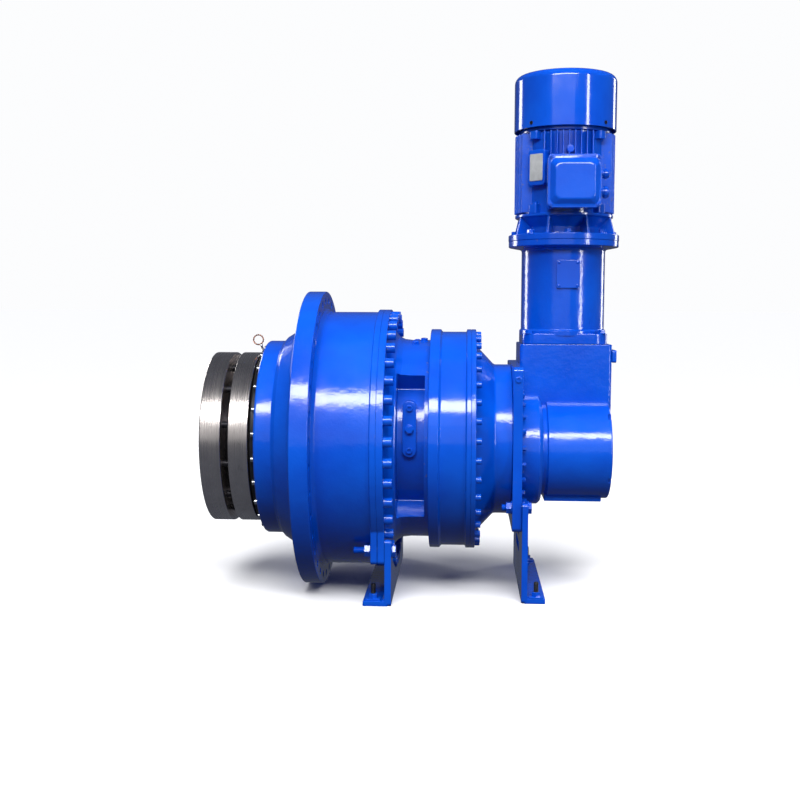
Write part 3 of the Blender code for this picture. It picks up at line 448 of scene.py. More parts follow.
def add_hex_bolt(bm, place, across, height, turn=0.0):
    """Hexagon head on a washer, with a shallow raised pad on top of the head."""
    add_disc(bm, place, 0.0, 0.0028, across * 1.12, 0.0010)
    add_hexagon(bm, place, 0.0029, height, across, 0.10 * across, turn)
    add_disc(bm, place, height - 0.0002, height + 0.0006, across * 0.70, 0.0003)


def add_socket_screw(bm, place, radius, height):
    """Cylinder head with a hexagon socket."""
    rim = 0.12 * radius
    key = 0.52 * radius
    sides = 24
    outline = rounded([(0.0, 0.0), (radius, 0.0), (radius, height, rim), (key, height),
                       (key, 0.45 * height), (0.0, 0.45 * height)], 3)
    add_turned(bm, place, outline, sides)


def bolt_ring(name, count, circle_r, x, across, height, node, cap, z=0.0, keep=None):
    """Cap screws or hexagon bolts that face +X, on a circle round the axis."""
    bm = bmesh.new()
    for index, (y, up) in enumerate(ring_places(count, circle_r, 0.5, 0.0, z)):
        if keep and not keep(y, up):
            continue
        place = frame_at((x, y, up))
        if cap:
            add_socket_screw(bm, place, across, height)
        else:
            add_hex_bolt(bm, place, across, height, 0.7 * index)
    return painted(name, bm, node)


# ---------------------------------------------------------------- output housing
FLANGE_X0 = -0.443
FLANGE_X1 = -0.387
FLANGE_HOLES = 36
FLANGE_CIRCLE_R = 0.441
FLANGE_HOLE_R = 0.011
LUG_HOLE_R = 0.0115
FRONT_BOLT_Y = 0.295
FRONT_BOLT_Z = -0.308
JOINT_X0 = -0.217
JOINT_SPLIT_X = -0.199
JOINT_X1 = -0.1775
JOINT_R = 0.413


def foot_lugs(item, x0, x1):
    """Lugs low on the joint flange that take the front bracket bolts."""
    for side in (-1, 1):
        inner, outer = sorted((side * 0.20, side * 0.330))
        lug = prism([rectangle(inner, outer, -0.345, -0.225, 0.012)], x0, x1, frame_x(), 0.0015)
        hollow = turned_x([(-0.23, 0.0), (-0.23, 0.380), (-0.15, 0.380), (-0.15, 0.0)])
        join(item, mesh_of(cut(solid("lug", lug), hollow)))
    bm = bmesh.new()
    for side in (-1, 1):
        place = frame_at((x0 - 0.02, side * FRONT_BOLT_Y, FRONT_BOLT_Z))
        add_disc(bm, place, 0.0, 0.08, LUG_HOLE_R, 0.0)
    cut(item, bm)


def output_housing():
    body = solid("housing_casting", turned_x([
        (HUB_FACE, 0.230), (HUB_FACE, 0.311, 0.008), (-0.520, 0.311, 0.006),
        (-0.508, 0.325, 0.008), (-0.465, 0.352, 0.020), (FLANGE_X0, 0.385, 0.006),
        (FLANGE_X0, FLANGE_R, 0.0035), (FLANGE_X1, FLANGE_R, 0.0035), (FLANGE_X1, 0.416, 0.006),
        (-0.376, 0.405, 0.008), (JOINT_X0, 0.405, 0.003), (JOINT_X0, JOINT_R, 0.0025),
        (JOINT_SPLIT_X, JOINT_R, 0.0012), (JOINT_SPLIT_X, 0.355), (-0.417, 0.355),
        (-0.417, 0.290), (-0.475, 0.290), (-0.475, 0.230)]))
    foot_lugs(body, JOINT_X0 - 0.002, JOINT_SPLIT_X - 0.0004)
    bm = bmesh.new()
    for y, z in ring_places(FLANGE_HOLES, FLANGE_CIRCLE_R):
        mouth = FLANGE_HOLE_R + 0.0015
        profile = [(0.0, 0.0), (mouth, 0.0), (FLANGE_HOLE_R, 0.0145), (FLANGE_HOLE_R, 0.0715),
                   (mouth, 0.086), (0.0, 0.086)]
        add_turned(bm, frame_at((FLANGE_X0 - 0.015, y, z)), profile, 24)
    cut(body, bm)
    dress(body, "cast", "blue_casting", "output_housing")


SEAL_BORE_R = 0.1512
SEAL_SCREWS = 24
SEAL_SCREW_CIRCLE_R = 0.2895


def seal_parts():
    cover = solid("seal_cover_ring", turned_x([
        (-0.594, 0.205), (-0.594, 0.268, 0.002), (-0.589, 0.276, 0.002),
        (HUB_FACE - GAP, 0.276), (HUB_FACE - GAP, 0.205)]))
    dress(cover, "dark", "dark_steel", "seal_cover")
    lip = solid("seal_lip", turned_x([
        (-0.592, SEAL_BORE_R, 0.002), (-0.592, 0.168, 0.002), (-0.588, 0.172), (-0.592, 0.176),
        (-0.592, 0.2047), (-0.577, 0.2047), (-0.577, SEAL_BORE_R)]))
    dress(lip, "rubber", "seal_rubber", "shaft_seal")
    bm = bmesh.new()
    for y, z in ring_places(SEAL_SCREWS, SEAL_SCREW_CIRCLE_R):
        add_socket_screw(bm, frame_at((HUB_FACE, y, z), (-1, 0, 0)), 0.0085, 0.0095)
    dress(solid("seal_screws", bm), "zinc", "bright_steel")


def hub_eye():
    """Grease nipple on top of the seal cover, with a ring of twisted wire."""
    base = at(-0.586, -0.030, 0.2735)
    stem = Vector((-0.42, -0.10, 0.90)).normalized()
    bm = bmesh.new()
    place = Matrix.Translation(base) @ stem.to_track_quat("Z", "Y").to_matrix().to_4x4()
    add_hexagon(bm, place, 0.0, 0.008, 0.0075)
    outline = rounded([(0.0, 0.007), (0.0035, 0.007), (0.0035, 0.022, 0.001),
                       (0.0052, 0.026, 0.001), (0.0030, 0.031, 0.001), (0.0, 0.031)], 2)
    add_turned(bm, place, outline, 16)
    dress(solid("grease_nipple", bm), "zinc", "bright_steel")
    bm = bmesh.new()
    sides, around = 48, 10
    ring_r, wire_r = 0.0155, 0.0013
    centre = base + stem * 0.046
    for strand in range(2):
        rows = []
        for step in range(sides):
            t = 2.0 * pi * step / sides
            swing = 0.0014 * cos(8.0 * t + pi * strand)
            out = Vector((cos(t), 0.25 * cos(t), sin(t))).normalized()
            middle = centre + out * (ring_r + swing)
            middle.y += 0.0014 * sin(8.0 * t + pi * strand)
            turns = [2.0 * pi * k / around for k in range(around)]
            rows.append([bm.verts.new(middle + out * wire_r * cos(turn)
                                      + Vector((0, 1, 0)) * wire_r * sin(turn))
                         for turn in turns])
        for step in range(sides):
            first, second = rows[step], rows[(step + 1) % sides]
            for k in range(around):
                after = (k + 1) % around
                bm.faces.new((first[k], second[k], second[after], first[after]))
    dress(solid("wire_ring", bm), "copper", "winding_iron")


# ---------------------------------------------------------------- output shaft
DISC_X0 = -0.747
DISC_X1 = -0.682
DISC_X2 = -0.658
DISC_X3 = -0.597
DISC_R = 0.273
SHAFT_R = 0.150
LOCKING_SCREWS = 12
LOCKING_CIRCLE_R = 0.232
PIN_CIRCLE_R = 0.189
PIN_R = 0.040


def shrink_disc():
    inner = SHAFT_R + GAP
    sleeve = solid("clamping_sleeve", turned_x([
        (DISC_X0 + 0.004, inner), (DISC_X0 + 0.004, 0.163, 0.001), (-0.670, 0.172),
        (DISC_X3 - 0.004, 0.163, 0.001), (DISC_X3 - 0.004, inner)]))
    dress(sleeve, "dark", "dark_steel", "shrink_sleeve", body="output")
    left = solid("clamping_ring_left", turned_x([
        (DISC_X0, 0.1633), (DISC_X0, 0.205, 0.001), (DISC_X0 + 0.0015, 0.207, 0.001),
        (DISC_X0 + 0.0015, 0.255, 0.001), (DISC_X0, 0.257, 0.001),
        (DISC_X0, DISC_R, 0.0045), (DISC_X1, DISC_R, 0.0022), (DISC_X1, 0.1733)]))
    bm = bmesh.new()
    for y, z in ring_places(LOCKING_SCREWS, LOCKING_CIRCLE_R):
        add_turned(bm, frame_at((DISC_X0 - 0.01, y, z)),
                   [(0.0, 0.0), (0.0190, 0.0), (0.0190, 0.030), (0.0125, 0.030),
                    (0.0125, 0.085), (0.0, 0.085)], SMALL)
    cut(left, bm)
    dress(left, "steel", "bright_steel", "shrink_ring_left", body="output")
    right = solid("clamping_ring_right", turned_x([
        (DISC_X2, 0.1733), (DISC_X2, DISC_R, 0.0022), (DISC_X3, DISC_R, 0.0040),
        (DISC_X3, 0.1633)]))
    dress(right, "steel", "bright_steel", "shrink_ring_right", body="output")
    # The shanks that cross the gap between the clamping rings are blackened steel, while the heads
    # of the same screws are zinc. This is painted shade: the screws are drawn darker where the gap
    # shades them.
    heads, painted_shade_shanks = bmesh.new(), bmesh.new()
    for y, z in ring_places(LOCKING_SCREWS, LOCKING_CIRCLE_R):
        add_socket_screw(heads, frame_at((DISC_X0 + 0.018, y, z), (-1, 0, 0)), 0.0170, 0.0150)
        add_disc(painted_shade_shanks, frame_at((DISC_X0 + 0.019, y, z)), 0.0, 0.0695, 0.0100, 0.001)
    dress(solid("locking_screws", heads), "zinc", "dark_steel", "shrink_screws", body="output")
    dress(solid("locking_screw_shanks_painted_shade", painted_shade_shanks), "dark", "dark_steel", body="output")


def hollow_shaft():
    """Hollow shaft, carrier plate and the three planet pins."""
    body = solid("hollow_shaft", turned_x([
        (DISC_X0, 0.115, 0.003), (DISC_X0, SHAFT_R, 0.003), (-0.478, SHAFT_R, 0.002),
        (-0.478, 0.200, 0.002), (-0.414, 0.200, 0.003), (-0.414, 0.262, 0.003),
        (-0.393, 0.262, 0.003), (-0.393, 0.0), (-0.430, 0.0), (-0.430, 0.115)], MEDIUM))
    bm = bmesh.new()
    for index in range(3):
        t = radians(90.0 + 120.0 * index)
        centre = (-0.397, *polar(PIN_CIRCLE_R, t))
        add_disc(bm, frame_at(centre), 0.0, 0.136, PIN_R, 0.003)
    join(body, bm)
    dress(body, "steel", "bright_steel", "output_carrier", body="output")


# ---------------------------------------------------------------- middle castings
CAGE_R = 0.316
CAGE_WALL_R = 0.252
CAGE_X1 = -0.0505
RIM_R = 0.351
WINDOW_X0 = -0.148
WINDOW_X1 = -0.062
WINDOW_HALF_ANGLE = 43.0


def window_cutter(middle):
    """Rounded sector that opens a side window in the intermediate casting."""
    steps = 40
    half = WINDOW_HALF_ANGLE
    loop = []
    for radius, order in ((CAGE_WALL_R, range(steps + 1)), (0.36, range(steps, -1, -1))):
        for step in order:
            t = radians(middle - half + 2.0 * half * step / steps)
            loop.append(polar(radius, t))
    corners = [0, steps, steps + 1, 2 * steps + 1]
    soft = [(*point, 0.010 if index in corners else 0.0) for index, point in enumerate(loop)]
    return prism([rounded(soft)], WINDOW_X0, WINDOW_X1, frame_x(), 0.004)


def intermediate_housing():
    body = solid("intermediate_casting", turned_x([
        (JOINT_SPLIT_X + GAP, 0.330), (JOINT_SPLIT_X + GAP, JOINT_R, 0.0012),
        (JOINT_X1, JOINT_R, 0.0025), (JOINT_X1, 0.368, 0.004), (-0.166, 0.345, 0.010),
        (-0.152, 0.328, 0.010), (-0.135, CAGE_R + 0.003, 0.012), (-0.110, CAGE_R, 0.010),
        (CAGE_X1, CAGE_R), (CAGE_X1, 0.226), (-0.160, 0.226), (-0.172, 0.330)]))
    for middle in (0.0, 180.0):
        cut(body, window_cutter(middle))
    foot_lugs(body, JOINT_SPLIT_X + GAP + 0.0004, JOINT_X1 - 0.0004)
    outline = rectangle(-0.129, -0.087, -0.030, 0.140, 0.0205)
    pad = solid("pad", prism([outline], -0.264, -0.180, frame_y(), 0.0025))
    cut(pad, turned_x([(-0.14, 0.0), (-0.14, 0.240), (-0.07, 0.240), (-0.07, 0.0)]))
    join(body, mesh_of(pad))
    dress(body, "cast", "blue_casting", "intermediate_housing")
    bm = bmesh.new()
    for z in (-0.009, 0.119):
        add_socket_screw(bm, frame_at((-0.108, -0.264, z), (0, -1, 0)), 0.0095, 0.0070)
    add_hex_bolt(bm, frame_at((-0.108, -0.264, 0.055), (0, -1, 0)), 0.0130, 0.0110)
    for x, turn in ((-0.098, 76.0), (-0.072, 84.0), (-0.098, 104.0)):
        t = radians(turn)
        out = (0.0, -cos(t), sin(t))
        place = frame_at((x, (CAGE_R - 0.001) * out[1], (CAGE_R - 0.001) * out[2]), out)
        add_hex_bolt(bm, place, 0.0110, 0.0095, turn)
    painted("window_plugs", bm)


def input_ring():
    """Toothed ring with two raised rims; the teeth face inwards."""
    body = solid("ring_gear_casing", turned_x([
        (CAGE_X1 + GAP, 0.200), (CAGE_X1 + GAP, RIM_R, 0.003), (-0.0200, RIM_R, 0.003),
        (-0.0135, 0.343, 0.004), (0.063, 0.343, 0.004), (0.063, RIM_R, 0.003),
        (0.0775, RIM_R, 0.0012), (0.0775, 0.200)]))
    teeth, module = 33, 0.0154
    pitch = teeth * module / 2.0
    outline = []
    for index in range(teeth):
        middle = radians(90.0) + pi / teeth + index * 2.0 * pi / teeth
        for radius, share in ((pitch + 1.05 * module, -0.29), (pitch - 0.8 * module, -0.115),
                              (pitch - 0.8 * module, 0.115), (pitch + 1.05 * module, 0.29)):
            t = middle + share * 2.0 * pi / teeth
            outline.append(Vector(polar(radius, t)))
    cut(body, prism([outline], -0.10, 0.13, frame_x()))
    dress(body, "machined", "blue_casting", "input_ring_gear")


def cone_adapter():
    body = solid("cone_casting", turned_x([
        (0.0778, 0.270), (0.0778, RIM_R, 0.0012), (0.0925, RIM_R, 0.003),
        (0.0925, 0.300, 0.004), (0.104, 0.288, 0.012), (0.150, 0.239, 0.014),
        (0.2032, 0.239, 0.002), (0.2032, 0.150), (0.165, 0.150), (0.130, 0.225)]))
    dress(body, "cast", "blue_casting", "cone_adapter")


PLATE_X0 = 0.2035
PLATE_X1 = 0.2325
CASE_Z = -0.033


def square_plate():
    outline = rectangle(-0.250, 0.250, -0.257, 0.243, 0.014, 6)
    bore = circle(0.130, FINE, 0.0, CASE_Z)
    body = solid("square_flange_plate",
                 prism([outline, bore], PLATE_X0, PLATE_X1, frame_x(), 0.0022))
    bm = bmesh.new()
    for side in (-1, 1):
        add_disc(bm, frame_at((0.19, side * 0.225, -0.185)), 0.0, 0.06, 0.0115, 0.0)
    cut(body, bm)
    dress(body, "machined", "blue_metal", "square_plate")
    bm = bmesh.new()
    for side in (-1, 1):
        add_socket_screw(bm, frame_at((0.218, side * 0.2495, 0.206), (0, side, 0)), 0.0095, 0.0045)
    painted("plate_plugs", bm)


# ---------------------------------------------------------------- bevel-helical unit
CASE_X0 = PLATE_X1 + GAP
BOX_X1 = 0.527
BOX_Y0 = 0.003
BOX_Y1 = 0.283
BOX_Z0 = -0.100
BOX_Z1 = 0.304


def bevel_case():
    body = solid("bevel_unit_case", turned_x([
        (CASE_X0, 0.0), (CASE_X0, 0.1755, 0.002), (0.290, 0.1755, 0.004),
        (0.300, 0.1655, 0.006), (0.300, 0.146, 0.004), (0.316, 0.146, 0.004),
        (0.318, 0.155, 0.003), (0.5145, 0.155, 0.006), (0.5145, 0.0)], FINE, 0.0, CASE_Z))
    box = rectangle(CASE_X0 + 0.0007, BOX_X1, BOX_Y0, BOX_Y1, 0.012)
    join(body, prism([box], BOX_Z0, BOX_Z1, frame_z(), 0.003))
    pad = rectangle(0.312, 0.492, -0.060, 0.060, 0.004)
    join(body, prism([pad], CASE_Z - 0.159, CASE_Z - 0.117, frame_z(), 0.002))
    for z, depth in ((CASE_Z + 0.115, -0.092), (CASE_Z - 0.081, -0.120)):
        notch = rectangle(0.503, 0.520, z - 0.008, z + 0.008, 0.003)
        cut(body, prism([notch], -0.170, depth, frame_y()))
    room = solid("room", turned_x([
        (CASE_X0 - 0.01, 0.0), (CASE_X0 - 0.01, 0.128), (0.490, 0.128), (0.490, 0.0)],
        MEDIUM, 0.0, CASE_Z))
    join(room, turned_x([(0.255, 0.0), (0.255, 0.112), (0.319, 0.112), (0.319, 0.0)], MEDIUM))
    upper = rectangle(CASE_X0 + 0.016, BOX_X1 - 0.018, BOX_Y0 + 0.016, BOX_Y1 - 0.016, 0.008)
    join(room, prism([upper], BOX_Z0 + 0.016, BOX_Z1 - 0.020, frame_z()))
    join(room, turned_z([(0.0, 0.25), (0.070, 0.25), (0.070, 0.33), (0.0, 0.33)], 48))
    cut(body, mesh_of(room))
    dress(body, "cast", "blue_casting", "bevel_case")


def case_trim():
    outline = rectangle(BOX_Y0 + 0.002, BOX_Y1 - 0.002, 0.246, 0.286, 0.007)
    block = solid("fill_plug_block",
                  prism([outline], BOX_X1 + GAP, BOX_X1 + 0.014, frame_x(), 0.002))
    dress(block, "machined", "blue_metal", "side_block")
    cap = solid("countershaft_cap", turned_x([
        (BOX_X1 + GAP, 0.0), (BOX_X1 + GAP, 0.055), (BOX_X1 + 0.007, 0.055, 0.002),
        (BOX_X1 + 0.009, 0.048, 0.002), (BOX_X1 + 0.009, 0.0)], MEDIUM, 0.140, 0.090))
    dress(cap, "machined", "blue_casting", "side_cap")
    bm = bmesh.new()
    for y, z in ring_places(6, 0.060, 0.0, 0.0, CASE_Z):
        add_socket_screw(bm, frame_at((0.5143, y, z)), 0.0080, 0.0080)
    add_hex_bolt(bm, frame_at((0.5143, 0.0, CASE_Z - 0.115)), 0.0130, 0.0110)
    for x, z in ((0.400, 0.230), (0.400, -0.060)):
        add_hex_bolt(bm, frame_at((x, BOX_Y1, z), (0, 1, 0)), 0.0140, 0.0120)
    painted("case_plugs", bm)


def clear_of_box(y, z):
    """True where a case bolt has room beside or below the box."""
    return z < BOX_Z0 - 0.015 or y < BOX_Y0 - 0.014


# ---------------------------------------------------------------- column and motor
COLUMN_Z0 = BOX_Z1 + GAP
COLUMN_R = 0.136


def column():
    half = 0.137
    base = rectangle(-half, half, -half, half, 0.050, 10)
    place = frame_z(MOTOR_X, MOTOR_Y)
    body = solid("motor_column", prism([base], COLUMN_Z0, 0.338, place, 0.003))
    join(body, turned_z([
        (0.0, 0.332), (0.141, 0.332), (0.141, 0.347, 0.002), (COLUMN_R, 0.351, 0.003),
        (COLUMN_R, 0.610, 0.010), (0.179, 0.618, 0.003), (0.179, 0.636), (0.0, 0.636)], FINE))
    cut(body, turned_z([
        (0.0, 0.29), (0.068, 0.29), (0.068, 0.365), (0.114, 0.385), (0.114, 0.650),
        (0.0, 0.650)], MEDIUM))
    dress(body, "cast", "blue_casting", "adapter_column")
    front = MOTOR_Y - COLUMN_R
    plate = rectangle(0.346, 0.420, 0.483, 0.572, 0.005)
    cover = prism([plate], front - 0.006, front - 0.001, frame_y(), 0.0012)
    dress(solid("inspection_cover", cover), "machined", "blue_metal", "column_plate")
    bm = bmesh.new()
    for x in (0.354, 0.412):
        for z in (0.491, 0.564):
            place = frame_at((x, front - 0.006, z), (0, -1, 0))
            add_turned(bm, place, rounded([(0.0, 0.0), (0.0045, 0.0), (0.0042, 0.0022, 0.002),
                                           (0.0, 0.0030)], 3), 20)
    for x in (-1, 1):
        for y in (-1, 1):
            place = frame_at((MOTOR_X + x * 0.116, MOTOR_Y + y * 0.116, 0.338), (0, 0, 1))
            add_hex_bolt(bm, place, 0.0120, 0.0120, 0.3)
    painted("column_screws", bm)


SHIELD_Z0 = 0.636 + GAP
FLANGE_TOP = 0.657
FRAME_Z0 = 0.7213
FRAME_Z1 = 0.981
FRAME_R = 0.135
FIN_R = 0.162
FIN_ROOT_R = 0.128
FIN_PITCH = 0.019
BADGE_ANGLE = 232.0          # degrees from +X, about the motor's axis
TERMINAL_TOP = 0.888


def end_shield():
    """Motor flange with a waisted neck and webs that flare out to the frame."""
    body = solid("motor_flange_shield", turned_z([
        (0.045, SHIELD_Z0), (0.180, SHIELD_Z0, 0.003), (0.180, FLANGE_TOP, 0.003),
        (0.122, FLANGE_TOP, 0.006), (0.122, 0.680, 0.010), (0.150, 0.709, 0.006),
        (0.159, 0.713, 0.003), (0.159, 0.721, 0.001), (0.112, 0.721), (0.112, 0.700),
        (0.045, 0.672)], FINE))
    bm = bmesh.new()
    for index in range(8):
        turn = Matrix.Rotation(radians(22.5 + 45.0 * index), 4, "Z")
        upright = Matrix(((1, 0, 0, 0), (0, 0, -1, 0), (0, 1, 0, 0), (0, 0, 0, 1)))
        web = [Vector((0.116, 0.655)), Vector((0.172, 0.655)), Vector((0.170, 0.661)),
               Vector((0.156, 0.716)), Vector((0.116, 0.716))]
        add_prism(bm, [web], -0.0045, 0.0045, frame_z(MOTOR_X, MOTOR_Y) @ turn @ upright, 0.0015)
    bm = mesh_of(solid("webs", bm))
    bm.from_mesh(body.data)
    bm.to_mesh(body.data)
    bm.free()
    dress(body, "alloy", "blue_aluminium", "motor_end_shield")
    bm = bmesh.new()
    for index in range(8):
        t = radians(45.0 * index)
        place = frame_at((MOTOR_X + 0.160 * cos(t), MOTOR_Y + 0.160 * sin(t), FLANGE_TOP),
                         (0, 0, 1))
        add_hex_bolt(bm, place, 0.0120, 0.0125, 0.4 * index)
    painted("motor_flange_bolts", bm)


def fin_outline(offset, side, along_x):
    """Cross-section of a cooling fin with a slight taper and a round tip."""
    root = sqrt(FIN_ROOT_R ** 2 - offset ** 2)
    tip = sqrt(FIN_R ** 2 - offset ** 2)
    outline = [(side * root, offset - 0.0027), (side * tip, offset - 0.0019, 0.0018),
               (side * tip, offset + 0.0019, 0.0018), (side * root, offset + 0.0027)]
    if not along_x:
        outline = [(point[1], point[0], *point[2:]) for point in outline]
    return rounded(outline, 3)


def motor_frame():
    bm = turned_z([(0.116, FRAME_Z0), (FRAME_R, FRAME_Z0, 0.002), (FRAME_R, FRAME_Z1, 0.002),
                   (0.116, FRAME_Z1)], FINE)
    low, high = FRAME_Z0 + 0.006, FRAME_Z1 - 0.004
    place = frame_z(MOTOR_X, MOTOR_Y)
    for offset in [index * FIN_PITCH for index in range(-4, 5)]:
        add_prism(bm, [fin_outline(offset, -1, True)], low, high, place, 0.0006)
        add_prism(bm, [fin_outline(offset, 1, True)], low, high, place, 0.0006)
        add_prism(bm, [fin_outline(offset, 1, False)], low, high, place, 0.0006)
        add_prism(bm, [fin_outline(offset, -1, False)], TERMINAL_TOP + 0.004, high, place, 0.0006)
    for index in range(4):
        turn = Matrix.Rotation(radians(45.0 + 90.0 * index), 4, "Z")
        add_prism(bm, [rectangle(0.120, 0.158, -0.016, 0.016, 0.006)], FRAME_Z0, FRAME_Z0 + 0.030,
                  place @ turn, 0.002)
        add_prism(bm, [rectangle(0.120, 0.157, -0.015, 0.015, 0.006)], FRAME_Z1 - 0.026, FRAME_Z1,
                  place @ turn, 0.002)
    upright = Matrix(((0, 0, 1, 0), (1, 0, 0, 0), (0, 1, 0, 0), (0, 0, 0, 1)))
    badge = place @ Matrix.Rotation(radians(BADGE_ANGLE), 4, "Z")
    pad = rectangle(-0.031, 0.031, 0.808, 0.920, 0.010)
    add_prism(bm, [pad], 0.120, FIN_R, badge @ upright, 0.0025)
    dress(solid("finned_frame", bm), "alloy", "blue_aluminium", "motor_frame")
    bm = bmesh.new()
    for index in range(4):
        t = radians(45.0 + 90.0 * index)
        place = frame_at((MOTOR_X + 0.142 * cos(t), MOTOR_Y + 0.142 * sin(t),
                          FRAME_Z0 + 0.030), (0, 0, 1))
        add_hex_bolt(bm, place, 0.0080, 0.0085, 0.2)
    boss = frame_at((MOTOR_X + 0.004, MOTOR_Y - 0.132, 0.918), (0, -1, 0))
    outline = rounded([(0.0, 0.0), (0.013, 0.0), (0.012, 0.030, 0.003), (0.0, 0.030)], 3)
    add_turned(bm, boss, outline, SMALL)
    painted("frame_screws", bm)
    plate = rectangle(-0.024, 0.024, 0.822, 0.906, 0.003)
    bm = prism([plate], FIN_R + 0.0005, FIN_R + 0.0022, badge @ upright, 0.0004)
    for side in (-0.0195, 0.0195):
        for z in (0.8265, 0.9015):
            corner = badge @ Matrix.Translation((FIN_R + 0.0020, side, z))
            outward = corner @ Matrix.Rotation(radians(90.0), 4, "Y")
            outline = [(0.0, 0.0), (0.0021, 0.0), (0.0018, 0.0008, 0.0006), (0.0, 0.0012)]
            add_turned(bm, outward, rounded(outline, 2), 12)
    dress(solid("blank_rating_plate", bm), "plate", "plate_aluminium", "rating_plate")


def fan_cowl():
    low, top, radius = 0.991, 1.169, 0.165
    body = solid("cowl", turned_z([
        (radius - 0.003, low), (radius, low, 0.001), (radius, top, 0.024), (0.045, top, 0.001),
        (0.045, top - 0.003), (radius - 0.003, top - 0.003, 0.022)], FINE, steps=8))
    bm = bmesh.new()
    place = frame_z(MOTOR_X, MOTOR_Y)
    for row in range(4):
        inner = 0.055 + 0.020 * row
        outer = inner + 0.011
        count = 8 + 4 * row
        for index in range(count):
            middle = 2.0 * pi * index / count
            half = pi / count - 0.0045 / inner
            turns = [middle - half + 2.0 * half * step / 8 for step in range(9)]
            loop = [Vector(polar(inner, t)) for t in turns]
            loop += [Vector(polar(outer, t)) for t in reversed(turns)]
            add_prism(bm, [loop], top - 0.010, top + 0.010, place)
    cut(body, bm)
    dress(body, "sheet", "blue_metal", "fan_cowl")
    bm = bmesh.new()
    for index in range(4):
        t = radians(45.0 + 90.0 * index)
        out = (cos(t), sin(t), 0.0)
        place = frame_at((MOTOR_X + (radius - 0.001) * out[0], MOTOR_Y + (radius - 0.001) * out[1],
                          low + 0.014), out)
        add_socket_screw(bm, place, 0.0060, 0.0035)
    dress(solid("cowl_screws", bm), "dark", "dark_steel")
    shield = solid("rear_shield", turned_z([
        (0.026, FRAME_Z1 + GAP), (0.146, FRAME_Z1 + GAP, 0.001), (0.146, 0.994, 0.003),
        (0.026, 1.006, 0.003)], FINE))
    dress(shield, "alloy", "blue_aluminium", "rear_end_shield")


TERMINAL_LEFT = 0.305
TERMINAL_RIGHT = 0.468
TERMINAL_LOW = 0.726
TERMINAL_FRONT = -0.112


def terminal_box():
    back = MOTOR_Y - FRAME_R - 0.001
    outline = rectangle(TERMINAL_LEFT, TERMINAL_RIGHT, TERMINAL_LOW, TERMINAL_TOP, 0.014)
    waist = rectangle(TERMINAL_LEFT + 0.004, TERMINAL_RIGHT - 0.004, TERMINAL_LOW + 0.004,
                      TERMINAL_TOP - 0.004, 0.012)
    body = solid("terminal_case",
                 prism([waist], TERMINAL_FRONT + 0.003, back, frame_y(), 0.002))
    join(body, prism([outline], TERMINAL_FRONT, TERMINAL_FRONT + 0.010, frame_y(), 0.002))
    inside = rectangle(TERMINAL_LEFT + 0.012, TERMINAL_RIGHT - 0.012, TERMINAL_LOW + 0.012,
                       TERMINAL_TOP - 0.012, 0.008)
    cut(body, prism([inside], TERMINAL_FRONT - 0.01, back - 0.006, frame_y()))
    dress(body, "alloy", "blue_aluminium", "terminal_box")
    face = TERMINAL_FRONT - 0.008
    lid = solid("terminal_lid", prism([outline], face, TERMINAL_FRONT - GAP, frame_y(), 0.002))
    left, right = TERMINAL_LEFT + 0.008, TERMINAL_RIGHT - 0.005
    low, high = TERMINAL_LOW + 0.010, TERMINAL_TOP - 0.012
    bm = bmesh.new()
    slope = [(0.0, -0.004), (0.0, -0.0080), (0.0020, -0.0105), (0.0120, -0.0205), (0.0140, -0.0224),
             (0.0165, -0.0236), (0.0200, -0.0240)]
    rows = []
    for inset, level in slope:
        corner = 0.016 + 0.2 * inset
        loop = rectangle(left + inset, right - inset, low + inset, high - inset, corner, 8)
        rows.append([bm.verts.new(frame_y() @ Vector((p.x, p.y, TERMINAL_FRONT + level)))
                     for p in loop])
    add_walls(bm, rows)
    bm.faces.new(rows[0])
    bm.faces.new(rows[-1])
    join(lid, bm)
    dress(lid, "alloy", "blue_aluminium", "terminal_cover", sharp=50.0)
    bm = bmesh.new()
    for x in (TERMINAL_LEFT + 0.009, TERMINAL_RIGHT - 0.009):
        for z in (TERMINAL_LOW + 0.009, TERMINAL_TOP - 0.009):
            add_socket_screw(bm, frame_at((x, face, z), (0, -1, 0)), 0.0046, 0.0060)
    painted("terminal_screws", bm)
    for node, z, radius in (("cable_gland_1", 0.835, 0.017), ("cable_gland_2", 0.779, 0.022)):
        gland(node, z, radius)


def gland(node, z, radius):
    """Cable gland with a hexagon body, a domed nut and a blanking plug."""
    place = frame_at((TERMINAL_RIGHT + GAP, -0.055, z))
    bm = bmesh.new()
    add_hexagon(bm, place, 0.0, 0.0100, radius)
    outline = rounded([(0.0, 0.010), (0.78 * radius, 0.010), (0.78 * radius, 0.013, 0.001),
                       (0.88 * radius, 0.0145, 0.001), (0.84 * radius, 0.025, 0.005),
                       (0.60 * radius, 0.031, 0.003), (0.42 * radius, 0.031),
                       (0.42 * radius, 0.028), (0.0, 0.028)], 3)
    add_turned(bm, place, outline, SMALL)
    for index in range(12):
        t = 2.0 * pi * index / 12
        turn = place @ Matrix.Rotation(t, 4, "Z")
        grip = rectangle(0.80 * radius, 0.93 * radius, -0.0012, 0.0012)
        add_prism(bm, [grip], 0.0145, 0.0225, turn, 0.0004)
    painted(node + "_body", bm, node)


# ---------------------------------------------------------------- support brackets
FRONT_X0 = JOINT_X1 + GAP
FRONT_T = 0.020
FRONT_HALF_Y = 0.330
FRONT_TOP = -0.270
FRONT_TOE = -0.242
FRONT_CLEARANCE = 0.4165
FOOT_T = 0.015
REAR_X0 = PLATE_X1 + GAP
REAR_T = 0.018
REAR_HALF_Y = 0.270
REAR_TOP = -0.166
REAR_TOE = 0.305
REAR_CLEARANCE = 0.2085
REAR_BOLT_Y = 0.225
REAR_BOLT_Z = -0.185
ROD_R = 0.0108


